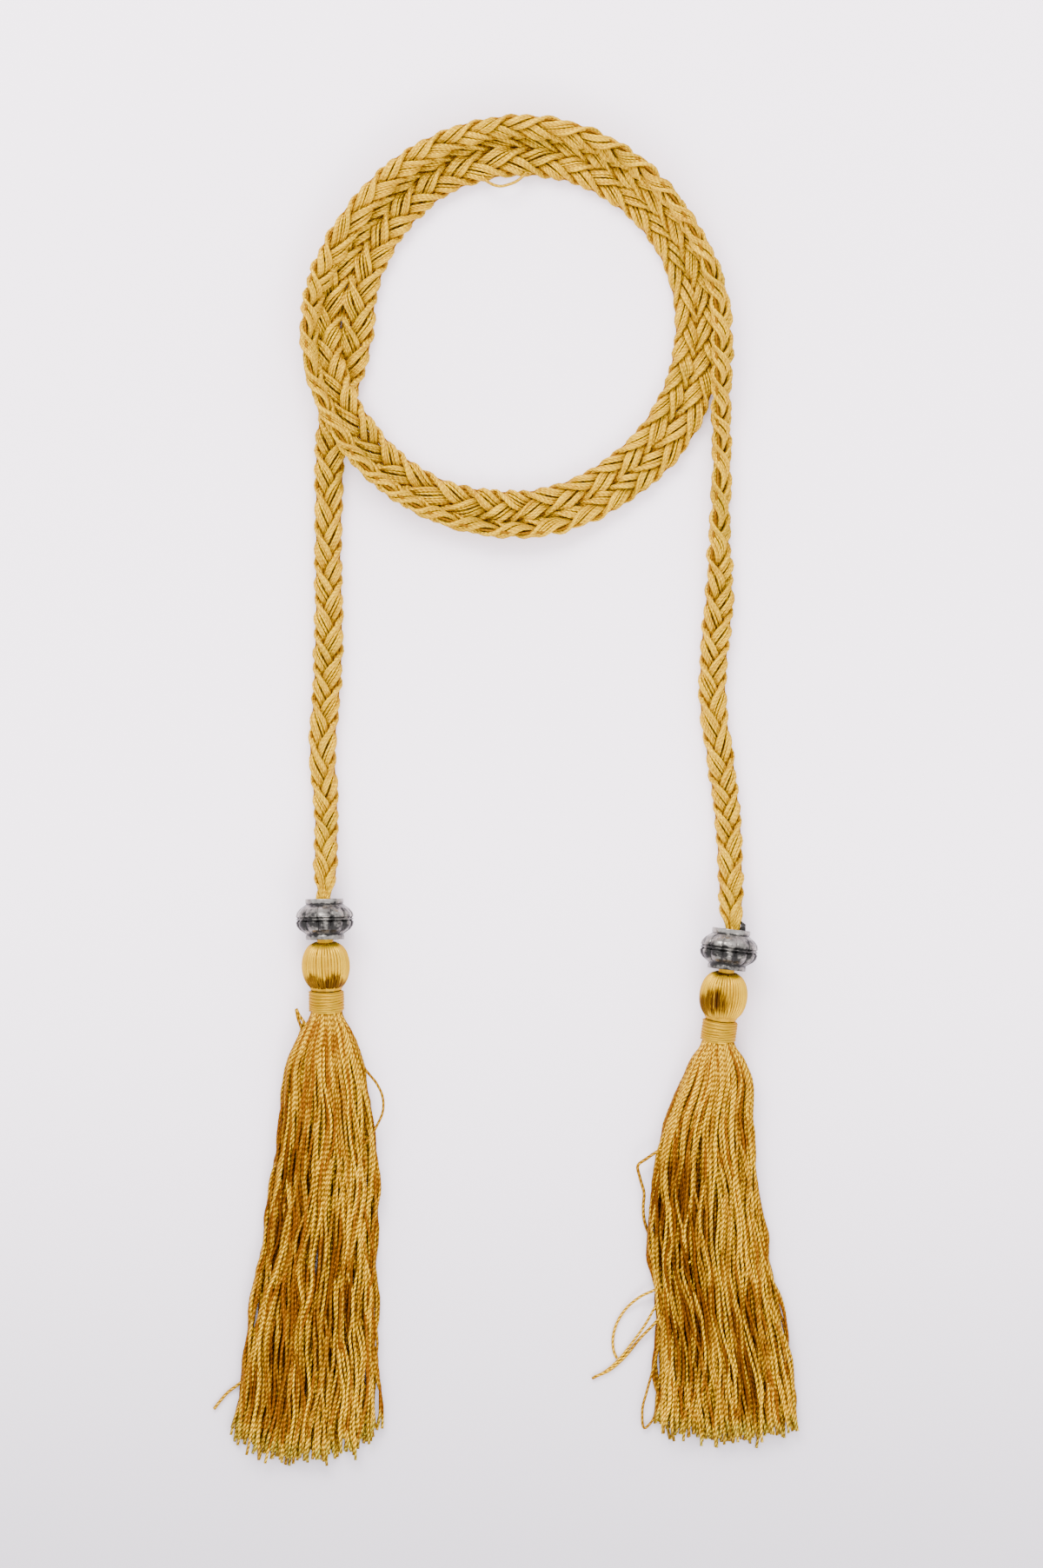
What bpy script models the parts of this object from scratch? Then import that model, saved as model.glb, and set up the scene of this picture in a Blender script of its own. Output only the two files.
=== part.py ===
# Braided tassel belt, laid down in a flat coil with both legs and tassels side by side.
# Metres, +Z up, standing on z = 0. The tassels lie towards -Y.
import math

import bmesh
import bpy
import numpy as np
from mathutils import Matrix, Vector

MM = 0.001
CLEARANCE = 0.35 * MM          # kept between pieces that touch on the real belt
OBJECT_NAME = "braided_tassel_belt"

# The braid: three flat yarn bundles plaited into one flat band
STRAND_WIDTH = 4.05 * MM
STRAND_THICKNESS = 1.4 * MM
STRAND_SHOULDER = 0.64         # how much of the bundle's width is flat on top
STRAND_COUNT = 3
LAY_LENGTH = 30.8 * MM         # one bundle's way from edge to edge and back
RINGS_PER_LAY = 7
SWAY_ROLL = 114.6              # how far a bundle turns over between the edges, in degrees
SWING_SHARE = 0.21             # extra sideways swing and rise of a bundle, shares of its width
RISE_SHARE = 0.216
EDGE_SHARE = 0.84              # what a bundle adds to the braid's half width, of its thickness
FACE_SHARE = 0.79              # what it adds to the half depth, of its thickness
FACE_RISE = 0.87               # where in its rise a bundle is nearest the braid's face
END_ROD_RADIUS = 1.3 * MM      # a bundle where it is gathered to pass through the bead
GATHER_LENGTH = 7.0 * MM

# The coil, seen from above, turning clockwise from the left
COIL_RADIUS = 50.0 * MM
CLIMB_SLOPE = 0.30             # the steepest the braid climbs over itself
PASS_GAP = 0.62 * MM           # between one pass of the coil and the next
FLOOR_GAP = 0.25 * MM          # between the braid's underside and the floor
SAME_PASS = 35.0 * MM          # nearer than this along the braid is the same pass
SECTION_POWER = 3.2            # squareness of the rounded outline the passes rest on
PATH_STEPS = 4                 # path points for each ring of a bundle
FINE_STEP = 0.25 * MM
RISE_LENGTH = 28.0 * MM        # the stretch over which it rises to a bead

# Beads
BEAD_RADIUS = 8.15 * MM
BEAD_LENGTH = 11.7 * MM
BEAD_BORE_RADIUS = 3.4 * MM
BEAD_LOBES = 12
BEAD_GROOVE = 0.09             # depth of a groove between lobes, of the radius
NIB_RADIUS = 0.6 * MM
NIB_HEIGHT = 2.6 * MM
NIB_OUT = 0.56                 # sideways place of the nib, of the bead's radius
# Outer side of a bead: way along its half length, radius as a share of the bead's, fluted or not
BEAD_PROFILE = ((-1.00, 0.66, 0), (-0.78, 0.70, 0), (-0.46, 0.98, 1), (0.00, 1.00, 1),
                (0.46, 0.98, 1), (0.78, 0.70, 0), (1.00, 0.66, 0))

# Tassels
HEAD_RADIUS = 6.75 * MM
HEAD_LENGTH = 13.5 * MM
HEAD_FULLNESS = 0.62           # under 1 makes the head's sides fuller than a ball's
HEAD_RINGS = (60, 32, 4, -24, -50)
HEAD_FOOT = 0.66               # radius of the head's underside, of HEAD_RADIUS
NECK_RADIUS = 2.3 * MM
NECK_SHOWING = 1.0 * MM
NECK_INSERT = 3.6 * MM
BINDING_RADIUS = 4.85 * MM
BINDING_LENGTH = 6.1 * MM
BINDING_WALL = 0.75 * MM
BINDING_TURNS = 2
BINDING_RIB = 0.3              # depth of the groove between turns, of the wall
TURNED_SIDES = 12
SKIRT_LOCKS = 9
LOCK_GROOVE = 0.16             # depth of a groove between two locks, of the local half height
LOCK_CORNERS = 3               # corners to each lock, the first of them in the groove
THROAT_INSERT = 5.4 * MM       # how far the fringe reaches up inside its binding
FLAT_UNDER = 0.25              # the share of a skirt's half height that lies flat on the floor
HEM_HANG = 0.045               # how far the locks hang past the hem, of the skirt's length
HEM_UNEVEN = 0.02

# The legs' routes, in millimetres from the coil's centre, chosen by hand:
# x, y, width and depth as shares of the braid's own, and roll in degrees
LEFT_LEG = (
    (-54.3, -154.0, 0.84, 1.00, 0),
    (-54.3, -136.3, 0.90, 1.00, 0),
    (-55.3, -121.5, 0.96, 1.00, 0),
    (-54.2, -107.5, 1.00, 1.00, 0),
    (-53.4, -86.8, 1.00, 1.00, 0),
    (-53.6, -66.3, 1.00, 1.00, 0),
    (-53.3, -45.5, 1.00, 1.00, 0),
    (-53.0, -35.0, 1.00, 1.00, 0),
    (-51.9, -25.8, 1.00, 0.94, 0),
    (-48.9, -16.4, 1.00, 0.94, 0),
    (-46.4, -7.6, 1.00, 0.98, 0),
)
RIGHT_LEG = (
    (59.7, -9.0, 0.90, 0.95, -120),
    (59.4, -20.0, 0.90, 0.95, -112),
    (59.6, -39.5, 0.90, 0.95, -110),
    (59.0, -59.0, 0.92, 0.95, -125),
    (58.8, -79.0, 1.00, 1.00, -168),
    (57.4, -94.0, 1.00, 1.00, -180),
    (57.0, -107.3, 1.00, 1.00, -180),
    (59.3, -125.0, 0.98, 1.00, -180),
    (61.3, -141.8, 0.94, 1.00, -180),
    (62.1, -158.0, 0.86, 1.00, -180),
)
MOUTH_WIDTH = 0.76             # the braid's width where it meets a bead
# The coil: turn in degrees, radius as a share of COIL_RADIUS, then width, depth and roll as above
COIL = (
    (0, 0.905, 1.00, 1.00, 0),
    (30, 0.905, 1.02, 1.00, 0),
    (60, 0.932, 1.00, 1.00, 0),
    (90, 0.950, 1.00, 1.00, 0),
    (120, 0.968, 0.86, 1.00, 0),
    (150, 0.990, 0.75, 0.95, 0),
    (180, 0.990, 0.76, 0.95, 0),
    (210, 0.990, 0.78, 0.95, 0),
    (240, 1.000, 0.82, 0.95, 0),
    (270, 1.034, 0.92, 1.00, 0),
    (300, 1.058, 1.00, 1.00, 0),
    (330, 1.070, 1.00, 1.00, 0),
    (360, 1.084, 0.90, 1.00, 0),
    (390, 1.058, 0.84, 1.00, 0),
    (420, 1.079, 0.82, 0.95, 0),
    (450, 1.094, 0.78, 0.92, 0),
    (480, 1.094, 0.76, 0.92, 0),
    (510, 1.100, 0.74, 0.90, 0),
    (540, 1.112, 0.76, 0.92, 0),
    (570, 1.132, 0.92, 0.95, 0),
    (600, 1.134, 0.80, 0.95, -10),
    (630, 1.164, 0.86, 0.84, -70),
    (660, 1.172, 0.86, 0.84, -84),
    (690, 1.180, 0.86, 0.84, -84),
    (720, 1.180, 0.86, 0.86, -70),
    (750, 1.118, 0.84, 0.92, -18),
    (780, 1.122, 0.78, 0.95, -10),
    (810, 1.148, 0.78, 0.95, -16),
    (840, 1.156, 0.80, 0.92, -45),
    (870, 1.160, 0.86, 0.88, -90),
    (895, 1.192, 0.90, 0.92, -118),
)
COIL_STEP = 10                 # degrees between the coil's points

# Each tassel: bead centre in millimetres from the coil's centre, heading of its axis in degrees
# from -Y towards +X, skirt length, hem width, and whether its bead carries the casting's nib
TASSELS = {
    "left": {"bead": (-54.5, -170.3), "heading": 1.1, "skirt_length": 129.0 * MM,
             "hem_width": 38.5 * MM, "nib": False},
    "right": {"bead": (61.6, -179.0), "heading": -6.9, "skirt_length": 116.0 * MM,
              "hem_width": 39.5 * MM, "nib": True},
}
# Skirts: way down as a share of the skirt's length, sideways place of the middle and width as
# shares of the hem width, height as a share of the binding's diameter
SKIRTS = {
    "left": (
        (0.012, 0.00, 0.25, 0.96),
        (0.04, 0.00, 0.36, 0.94),
        (0.08, -0.01, 0.48, 0.88),
        (0.27, 0.00, 0.67, 0.72),
        (0.46, -0.04, 0.78, 0.62),
        (0.66, -0.10, 0.90, 0.55),
        (0.85, -0.14, 1.00, 0.50),
        (0.95, -0.18, 1.03, 0.46),
    ),
    "right": (
        (0.012, 0.00, 0.25, 0.96),
        (0.04, 0.00, 0.36, 0.94),
        (0.09, 0.00, 0.49, 0.88),
        (0.19, -0.05, 0.61, 0.78),
        (0.35, -0.07, 0.74, 0.68),
        (0.53, -0.04, 0.81, 0.60),
        (0.72, 0.04, 0.89, 0.54),
        (0.94, 0.10, 1.00, 0.48),
    ),
}
SKIRT_TURN_BACK = 0.9          # how much of the axis's heading the skirt loses as it falls straight

COLOURS = {
    "yarn": ((0.62, 0.39, 0.07, 1.0), 0.55, 0.0),
    "fringe": ((0.52, 0.29, 0.05, 1.0), 0.6, 0.0),
    "bead_metal": ((0.55, 0.53, 0.50, 1.0), 0.35, 1.0),
}


def clear_scene():
    for thing in list(bpy.data.objects):
        bpy.data.objects.remove(thing, do_unlink=True)


def new_collection(name):
    group = bpy.data.collections.new(name)
    bpy.context.scene.collection.children.link(group)
    return group


def make_material(name):
    colour, roughness, metallic = COLOURS[name]
    material = bpy.data.materials.new(name)
    material.use_nodes = True
    shader = material.node_tree.nodes["Principled BSDF"]
    shader.inputs["Base Color"].default_value = colour
    shader.inputs["Roughness"].default_value = roughness
    shader.inputs["Metallic"].default_value = metallic
    material.diffuse_color = colour
    return material


def smooth_table(rows, places):
    """Rows read at new places along their first column, on a curve through every row."""
    rows = np.array(rows, float)
    at, values = rows[:, 0], rows[:, 1:]
    slopes = np.gradient(values, at, axis=0)
    i = np.clip(np.searchsorted(at, places, side="right") - 1, 0, len(at) - 2)
    span = (at[i + 1] - at[i])[:, None]
    t = ((places - at[i])[:, None]) / span
    return (values[i] * (2 * t**3 - 3 * t**2 + 1) + values[i + 1] * (3 * t**2 - 2 * t**3)
            + slopes[i] * span * (t**3 - 2 * t**2 + t) + slopes[i + 1] * span * (t**3 - t**2))


def braid_size():
    """Sideways swing and height of the plait's weave, and the whole braid's half sizes."""
    layer = STRAND_THICKNESS + CLEARANCE
    swing = layer + SWING_SHARE * STRAND_WIDTH
    rise = (layer + RISE_SHARE * STRAND_WIDTH) / math.sqrt(3)
    half_width = swing + EDGE_SHARE * STRAND_THICKNESS
    half_depth = FACE_RISE * rise + FACE_SHARE * STRAND_THICKNESS
    return swing, rise, half_width, half_depth


def bundle_section(phase, width=1.0, depth=1.0):
    """Six corners of one bundle's section at a phase of the plait, across and up."""
    swing, rise, _, _ = braid_size()
    edge, shoulder, half = STRAND_WIDTH / 2, STRAND_SHOULDER * STRAND_WIDTH / 2, STRAND_THICKNESS / 2
    flat = np.array([(edge, 0), (shoulder, half), (-shoulder, half),
                     (-edge, 0), (-shoulder, -half), (shoulder, -half)])
    turn = math.radians(-90 + SWAY_ROLL * math.cos(phase))
    spin = np.array([(math.cos(turn), math.sin(turn)), (-math.sin(turn), math.cos(turn))])
    place = np.array([swing * math.sin(phase), rise * math.sin(2 * phase)])
    return (flat @ spin + place) * (width, depth)


def gathered_section(phase):
    """The same bundle rounded and packed with its neighbours, as it passes through a bead."""
    radius = END_ROD_RADIUS
    ring = (2 * radius + CLEARANCE) / math.sqrt(3)
    turn = math.radians(-90 + SWAY_ROLL * math.cos(phase))
    corners = turn + np.radians([0, 60, 120, 180, 240, 300])
    # of the three phases where a bundle stands at the plait's end, one is at the edge
    at_edge = math.sin(phase) < -0.9
    side = math.copysign(ring * math.sqrt(3) / 2, math.sin(2 * phase))
    place = (-ring, 0) if at_edge else (ring / 2, side)
    return np.stack([np.cos(corners), np.sin(corners)], 1) * radius + place


def route_points():
    """The whole route's points: x, y, width, depth, roll."""
    degrees = np.arange(COIL[0][0], COIL[-1][0] + 1, COIL_STEP)
    coil = smooth_table(COIL, degrees)
    angle, radius = np.radians(degrees), coil[:, 0] * COIL_RADIUS
    turns = np.column_stack([-radius * np.cos(angle), radius * np.sin(angle), coil[:, 1:]])
    scale = np.array([MM, MM, 1, 1, 1])
    ends = [[*bead_mouth(side)[:2], MOUTH_WIDTH, 1.0, leg[-1]]
            for side, leg in (("left", LEFT_LEG[0]), ("right", RIGHT_LEG[-1]))]
    legs = np.array(LEFT_LEG) * scale, np.array(RIGHT_LEG) * scale
    return np.vstack([ends[0], legs[0], turns, legs[1], ends[1]])


def resample(points, spacing):
    """The route at even steps along its length, with the length so far."""
    steps = np.hypot(*np.diff(points[:, :2], axis=0).T)
    rows = np.column_stack([np.concatenate([[0], np.cumsum(steps)]), points])
    fine = np.linspace(0, rows[-1, 0], int(rows[-1, 0] / FINE_STEP))
    dense = smooth_table(rows, fine)
    length = np.concatenate([[0], np.cumsum(np.hypot(*np.diff(dense[:, :2], axis=0).T))])
    count = max(2, round(length[-1] / spacing)) + 1
    even = np.linspace(0, length[-1], count)
    return even, np.column_stack([np.interp(even, length, dense[:, k]) for k in range(dense.shape[1])])


ACROSS = np.linspace(-1, 1, 21)


def top_of_section(width, depth, roll):
    """Half span and upper outline of the rolled braid, at the places in ACROSS."""
    _, _, half_width, half_depth = braid_size()
    t = np.linspace(0, 2 * math.pi, 181)[:-1]
    bulge = 2 / SECTION_POWER
    u = half_width * width * np.sign(np.cos(t)) * np.abs(np.cos(t)) ** bulge
    v = half_depth * depth * np.sign(np.sin(t)) * np.abs(np.sin(t)) ** bulge
    c, s = math.cos(math.radians(roll)), math.sin(math.radians(roll))
    across, up = u * c - v * s, u * s + v * c
    span = across.max()
    keep = np.array([up[np.abs(across - place * span) < 0.06 * span].max() for place in ACROSS])
    return span, keep


def lay_down(length, rows):
    """Height of the braid's middle where it lies on the floor and on what was laid before it."""
    shape = [top_of_section(*row[2:5]) for row in rows]
    span = np.array([s[0] for s in shape])
    top = np.array([s[1] for s in shape])
    ahead = np.gradient(rows[:, :2], axis=0)
    ahead /= np.linalg.norm(ahead, axis=1)[:, None]
    left = np.column_stack([-ahead[:, 1], ahead[:, 0]])
    step = length[1] - length[0]
    floor, last = top.max(axis=1), len(ACROSS) - 1
    height = floor.copy()
    apart = np.abs(length[:, None] - length[None])
    for _ in range(5):
        need = floor.copy()
        for i in range(len(rows)):
            under = np.nonzero(length < length[i] - SAME_PASS)[0]
            near = np.linalg.norm(rows[under, :2] - rows[i, :2], axis=1)
            under = under[near < span[i] + span.max() + step]
            if not len(under):
                continue
            spots = rows[i, :2] + np.outer(ACROSS * span[i], left[i])
            offset = spots[:, None] - rows[under, :2]
            along = np.abs((offset * ahead[under]).sum(2))
            across = (offset * left[under]).sum(2) / span[under]
            touching = (along < 0.75 * step) & (np.abs(across) <= 1)
            if not touching.any():
                continue
            k = np.clip(np.round((across + 1) / 2 * last), 0, last).astype(int)
            surface = height[under] + top[under, k]
            lift = surface + PASS_GAP + top[i, ::-1][:, None]
            need[i] = max(need[i], lift[touching].max())
        raised = (need[None] - CLIMB_SLOPE * apart).max(axis=1)
        if np.allclose(raised, height, atol=0.02 * MM):
            break
        height = np.maximum(raised, floor)
    return height


def moving_mean(values, half):
    window = np.ones(2 * half + 1) / (2 * half + 1)
    padded = np.concatenate([np.full(half, values[0]), values, np.full(half, values[-1])])
    return np.convolve(padded, window, mode="valid")


def braid_path():
    """Length so far, place and section numbers of the braid, at even steps."""
    length, rows = resample(route_points(), LAY_LENGTH / RINGS_PER_LAY / PATH_STEPS)
    height = lay_down(length, rows)
    height = moving_mean(height, PATH_STEPS - 1) + FLOOR_GAP
    for from_end in (length, length[-1] - length):
        near = np.clip(1 - from_end / RISE_LENGTH, 0, 1)
        share = near * near * (3 - 2 * near)
        height = height * (1 - share) + BEAD_RADIUS * share
    return length, np.column_stack([rows[:, :2], height, rows[:, 2:]])


def read_path(length, path, place):
    return np.array([np.interp(place, length, path[:, k]) for k in range(path.shape[1])])


def frame_at(length, path, place):
    """Middle, across and up directions of the rolled braid, and its width and depth there."""
    near = 1.2 * MM
    low, high = max(place - near, 0), min(place + near, length[-1])
    ahead = Vector(read_path(length, path, high)[:3] - read_path(length, path, low)[:3]).normalized()
    x, y, z, width, depth, roll = read_path(length, path, place)
    across = Vector((0, 0, 1)).cross(ahead).normalized()
    turn = Matrix.Rotation(-math.radians(roll), 3, ahead)
    across = turn @ across
    return Vector((x, y, z)), across, ahead.cross(across), width, depth


def loft(name, rings, group, material, capped=True):
    """A closed skin over rings of corners; without caps the last ring joins the first."""
    shell = bmesh.new()
    skin = [[shell.verts.new(corner) for corner in ring] for ring in rings]
    pairs = list(zip(skin, skin[1:])) + ([] if capped else [(skin[-1], skin[0])])
    for low, high in pairs:
        for i in range(len(low)):
            j = (i + 1) % len(low)
            shell.faces.new((low[i], low[j], high[j], high[i]))
    if capped:
        for ring in (skin[0], skin[-1]):
            middle = shell.verts.new(sum((v.co for v in ring), Vector()) / len(ring))
            for i in range(len(ring)):
                shell.faces.new((ring[i], ring[(i + 1) % len(ring)], middle))
    bmesh.ops.recalc_face_normals(shell, faces=shell.faces)
    bmesh.ops.triangulate(shell, faces=shell.faces, quad_method="SHORT_EDGE")
    mesh = bpy.data.meshes.new(name)
    shell.to_mesh(mesh)
    shell.free()
    return place_object(name, mesh, group, material)


def place_object(name, mesh, group, material):
    thing = bpy.data.objects.new(name, mesh)
    mesh.materials.append(material)
    mesh.shade_smooth()
    mesh.set_sharp_from_angle(angle=math.radians(40))
    group.objects.link(thing)
    return thing


def make_strands(group, material):
    """The three bundles of the braid, each from inside one bead to inside the other."""
    length, path = braid_path()
    total = length[-1]
    plaited = total - 2 * GATHER_LENGTH
    rings = max(1, round(plaited / LAY_LENGTH)) * RINGS_PER_LAY
    insert = BEAD_LENGTH - NECK_INSERT - 2 * CLEARANCE
    for k in range(STRAND_COUNT):
        start = math.radians(30) + k * 2 * math.pi / STRAND_COUNT
        skin = []

        def add(section, place):
            middle, across, up, _, _ = frame_at(length, path, place)
            skin.append([middle + across * x + up * y for x, y in section])

        def add_end(section, side, depth):
            _, heading, _ = tassel_axis(side)
            inward = heading if side == "left" else -heading
            up = Vector((0, 0, 1 if side == "left" else -1))
            across = up.cross(-inward if side == "left" else -inward)
            middle = bead_mouth(side) + heading * depth
            skin.append([middle + across * x + up * y for x, y in section])

        add_end(gathered_section(start), "left", insert)
        add_end(gathered_section(start), "left", 0.0)
        for r in range(rings + 1):
            place = GATHER_LENGTH + plaited * r / rings
            phase = start + 2 * math.pi * r / RINGS_PER_LAY
            _, _, _, width, depth = frame_at(length, path, place)
            add(bundle_section(phase, width, depth), place)
        add_end(gathered_section(start), "right", 0.0)
        add_end(gathered_section(start), "right", insert)
        loft(f"braid_strand_{k + 1}", skin, group, material)


def tassel_axis(side):
    """Bead centre, level heading and pitched axis of one tassel."""
    spec = TASSELS[side]
    x, y = spec["bead"]
    turn = math.radians(spec["heading"])
    heading = Vector((math.sin(turn), -math.cos(turn), 0))
    to_head = NECK_SHOWING + HEAD_LENGTH / 2
    to_binding_end = NECK_SHOWING + HEAD_LENGTH + CLEARANCE + BINDING_LENGTH
    pitch = math.asin(min((BEAD_RADIUS - HEAD_RADIUS) / to_head,
                          (BEAD_RADIUS - BINDING_RADIUS) / to_binding_end))
    axis = heading * math.cos(pitch) - Vector((0, 0, math.sin(pitch)))
    return Vector((x * MM, y * MM, BEAD_RADIUS)), heading, axis


def bead_mouth(side):
    centre, heading, _ = tassel_axis(side)
    return centre - heading * (BEAD_LENGTH / 2)


def stand_on(axis, origin):
    """Places a turned piece with its top towards the bead and its bottom along the axis."""
    return Matrix.Translation(origin) @ (-axis).to_track_quat("Z", "X").to_matrix().to_4x4()


def make_bead(side, group, cutters, material):
    """Fluted bead with a collar at each end and a bore for the braid."""
    centre, heading, _ = tassel_axis(side)
    half = BEAD_LENGTH / 2
    profile = [(along * half, share * BEAD_RADIUS, fluted) for along, share, fluted in BEAD_PROFILE]
    profile += [(half, BEAD_BORE_RADIUS, 0), (-half, BEAD_BORE_RADIUS, 0)]
    sideways = heading.cross(Vector((0, 0, 1)))
    rings = []
    for i in range(2 * BEAD_LOBES):
        angle = math.pi * (i + 0.5) / BEAD_LOBES
        out = Vector((0, 0, 1)) * math.sin(angle) + sideways * math.cos(angle)
        groove = BEAD_GROOVE if i % 2 else 0.0
        rings.append([centre + heading * along + out * radius * (1 - groove * fluted)
                      for along, radius, fluted in profile])
    bead = loft(f"bead_{side}", rings, group, material, capped=False)
    if TASSELS[side]["nib"]:
        bpy.ops.mesh.primitive_cylinder_add(vertices=8, radius=NIB_RADIUS, depth=NIB_HEIGHT + half / 2)
        nib = bpy.context.object
        nib.name = "nib_shape"
        nib.matrix_world = stand_on(heading, centre - heading * (half + NIB_HEIGHT / 2 - half / 4)
                                    - sideways * NIB_OUT * BEAD_RADIUS)
        hide_cutter(nib, cutters)
        join = bead.modifiers.new("nib", "BOOLEAN")
        join.operation = "UNION"
        join.solver = "EXACT"
        join.object = nib
    return bead


def hide_cutter(thing, cutters):
    for group in list(thing.users_collection):
        group.objects.unlink(thing)
    cutters.objects.link(thing)
    thing.hide_render = True
    thing.display_type = "WIRE"


def turned(name, profile, closed, placement, group, material):
    """A profile of (radius, height) turned round its own Z, from its top down its outer side."""
    mesh = bpy.data.meshes.new(name)
    count = len(profile)
    edges = [(i, i + 1) for i in range(count - 1)] + ([(count - 1, 0)] if closed else [])
    mesh.from_pydata([(radius, 0, height) for radius, height in profile], edges, [])
    thing = place_object(name, mesh, group, material)
    thing.matrix_world = placement
    screw = thing.modifiers.new("turn", "SCREW")
    screw.axis = "Z"
    screw.angle = 2 * math.pi
    screw.steps = TURNED_SIDES
    screw.render_steps = TURNED_SIDES
    screw.use_merge_vertices = True
    screw.merge_threshold = 0.00001
    screw.use_normal_calculate = True
    return thing


def make_head(side, group, material):
    """Round head of a tassel, with the neck that reaches up into the bead."""
    centre, heading, axis = tassel_axis(side)
    mouth = centre + heading * (BEAD_LENGTH / 2)
    top, bottom = -NECK_SHOWING, -(NECK_SHOWING + HEAD_LENGTH)
    middle, half = (top + bottom) / 2, HEAD_LENGTH / 2
    profile = [(0, NECK_INSERT), (NECK_RADIUS, NECK_INSERT), (NECK_RADIUS, top)]
    for t in np.radians(HEAD_RINGS):
        profile.append((HEAD_RADIUS * math.cos(t) ** HEAD_FULLNESS, middle + half * math.sin(t)))
    profile += [(HEAD_FOOT * HEAD_RADIUS, bottom), (0, bottom)]
    turned(f"tassel_head_{side}", profile, False, stand_on(axis, mouth), group, material)


def make_binding(side, group, material):
    """Thread wound round the throat of a tassel: a short ribbed tube."""
    centre, heading, axis = tassel_axis(side)
    start = centre + heading * (BEAD_LENGTH / 2) + axis * (NECK_SHOWING + HEAD_LENGTH + CLEARANCE)
    pitch = BINDING_LENGTH / BINDING_TURNS
    inner = BINDING_RADIUS - BINDING_WALL
    profile = []
    groove = BINDING_RADIUS - BINDING_RIB * BINDING_WALL
    for turn in range(BINDING_TURNS):
        profile += [(groove, -turn * pitch), (BINDING_RADIUS, -(turn + 0.5) * pitch)]
    profile += [(groove, -BINDING_LENGTH), (inner, -BINDING_LENGTH), (inner, 0)]
    turned(f"neck_binding_{side}", profile, True, stand_on(axis, start), group, material)


def make_skirt(side, group, material):
    """Fringe of a tassel: locks side by side on one body, flat underneath where it lies."""
    spec = TASSELS[side]
    centre, heading, axis = tassel_axis(side)
    throat = BINDING_RADIUS - BINDING_WALL - CLEARANCE
    to_binding = NECK_SHOWING + HEAD_LENGTH + CLEARANCE
    binding_end = centre + heading * (BEAD_LENGTH / 2) + axis * (to_binding + BINDING_LENGTH)
    sideways = heading.cross(Vector((0, 0, 1)))
    corners = LOCK_CORNERS * SKIRT_LOCKS
    angles = [2 * math.pi * i / corners for i in range(corners)]
    up = sideways.cross(axis)
    rings = []
    for back in (THROAT_INSERT, -CLEARANCE):
        middle = binding_end - axis * back
        rings.append([middle + (sideways * math.cos(a) + up * math.sin(a)) * throat for a in angles])
    length, hem = spec["skirt_length"], spec["hem_width"]
    straighten = Vector((-heading.x, 0, 0)) * SKIRT_TURN_BACK
    for along, shift, width, tall in SKIRTS[side]:
        middle = binding_end + heading * (along * length) + straighten * (along * length)
        middle += Vector((1, 0, 0)) * (shift * hem)
        height = tall * 2 * BINDING_RADIUS
        ring = []
        for i, a in enumerate(angles):
            lock, in_groove = i // LOCK_CORNERS, i % LOCK_CORNERS == 0
            groove = LOCK_GROOVE * in_groove
            lean = a + 0.05 * math.sin(5 * along + 1.9 * lock)
            x = 0.5 * width * hem * (1 - 0.25 * groove) * math.cos(lean)
            rise = math.copysign(abs(math.sin(lean)) ** 0.8, math.sin(lean))
            z = 0.0 if math.sin(a) < -FLAT_UNDER else 0.5 * height * (1 + (1 - groove) * rise)
            hang = 0.0
            if along == SKIRTS[side][-1][0]:
                hang = (HEM_HANG + HEM_UNEVEN * math.sin(2.4 * lock)) * length * (0.1 if in_groove else 1)
            ring.append(Vector((middle.x - x, middle.y - hang, z)))
        rings.append(ring)
    loft(f"skirt_{side}", rings, group, material)


def shift_to_origin(group):
    """The move that brings the belt's middle, seen from above, over the origin and its foot to z = 0."""
    bpy.context.view_layer.update()
    graph = bpy.context.evaluated_depsgraph_get()
    low, high = Vector((math.inf,) * 3), Vector((-math.inf,) * 3)
    for thing in group.objects:
        seen = thing.evaluated_get(graph)
        for vertex in seen.data.vertices:
            spot = seen.matrix_world @ vertex.co
            low = Vector(map(min, low, spot))
            high = Vector(map(max, high, spot))
    return -Vector(((low.x + high.x) / 2, (low.y + high.y) / 2, low.z))


def main():
    clear_scene()
    group = new_collection(OBJECT_NAME)
    cutters = new_collection("cutters")
    yarn, fringe, metal = (make_material(name) for name in ("yarn", "fringe", "bead_metal"))
    make_strands(group, yarn)
    for side in TASSELS:
        make_bead(side, group, cutters, metal)
        make_head(side, group, fringe)
        make_binding(side, group, yarn)
        make_skirt(side, group, fringe)
    move = Matrix.Translation(shift_to_origin(group))
    for thing in list(group.objects) + list(cutters.objects):
        thing.matrix_world = move @ thing.matrix_world


main()
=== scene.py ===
# Braided tassel belt laid in a flat coil, its two tassels side by side: the looks
import math

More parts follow.
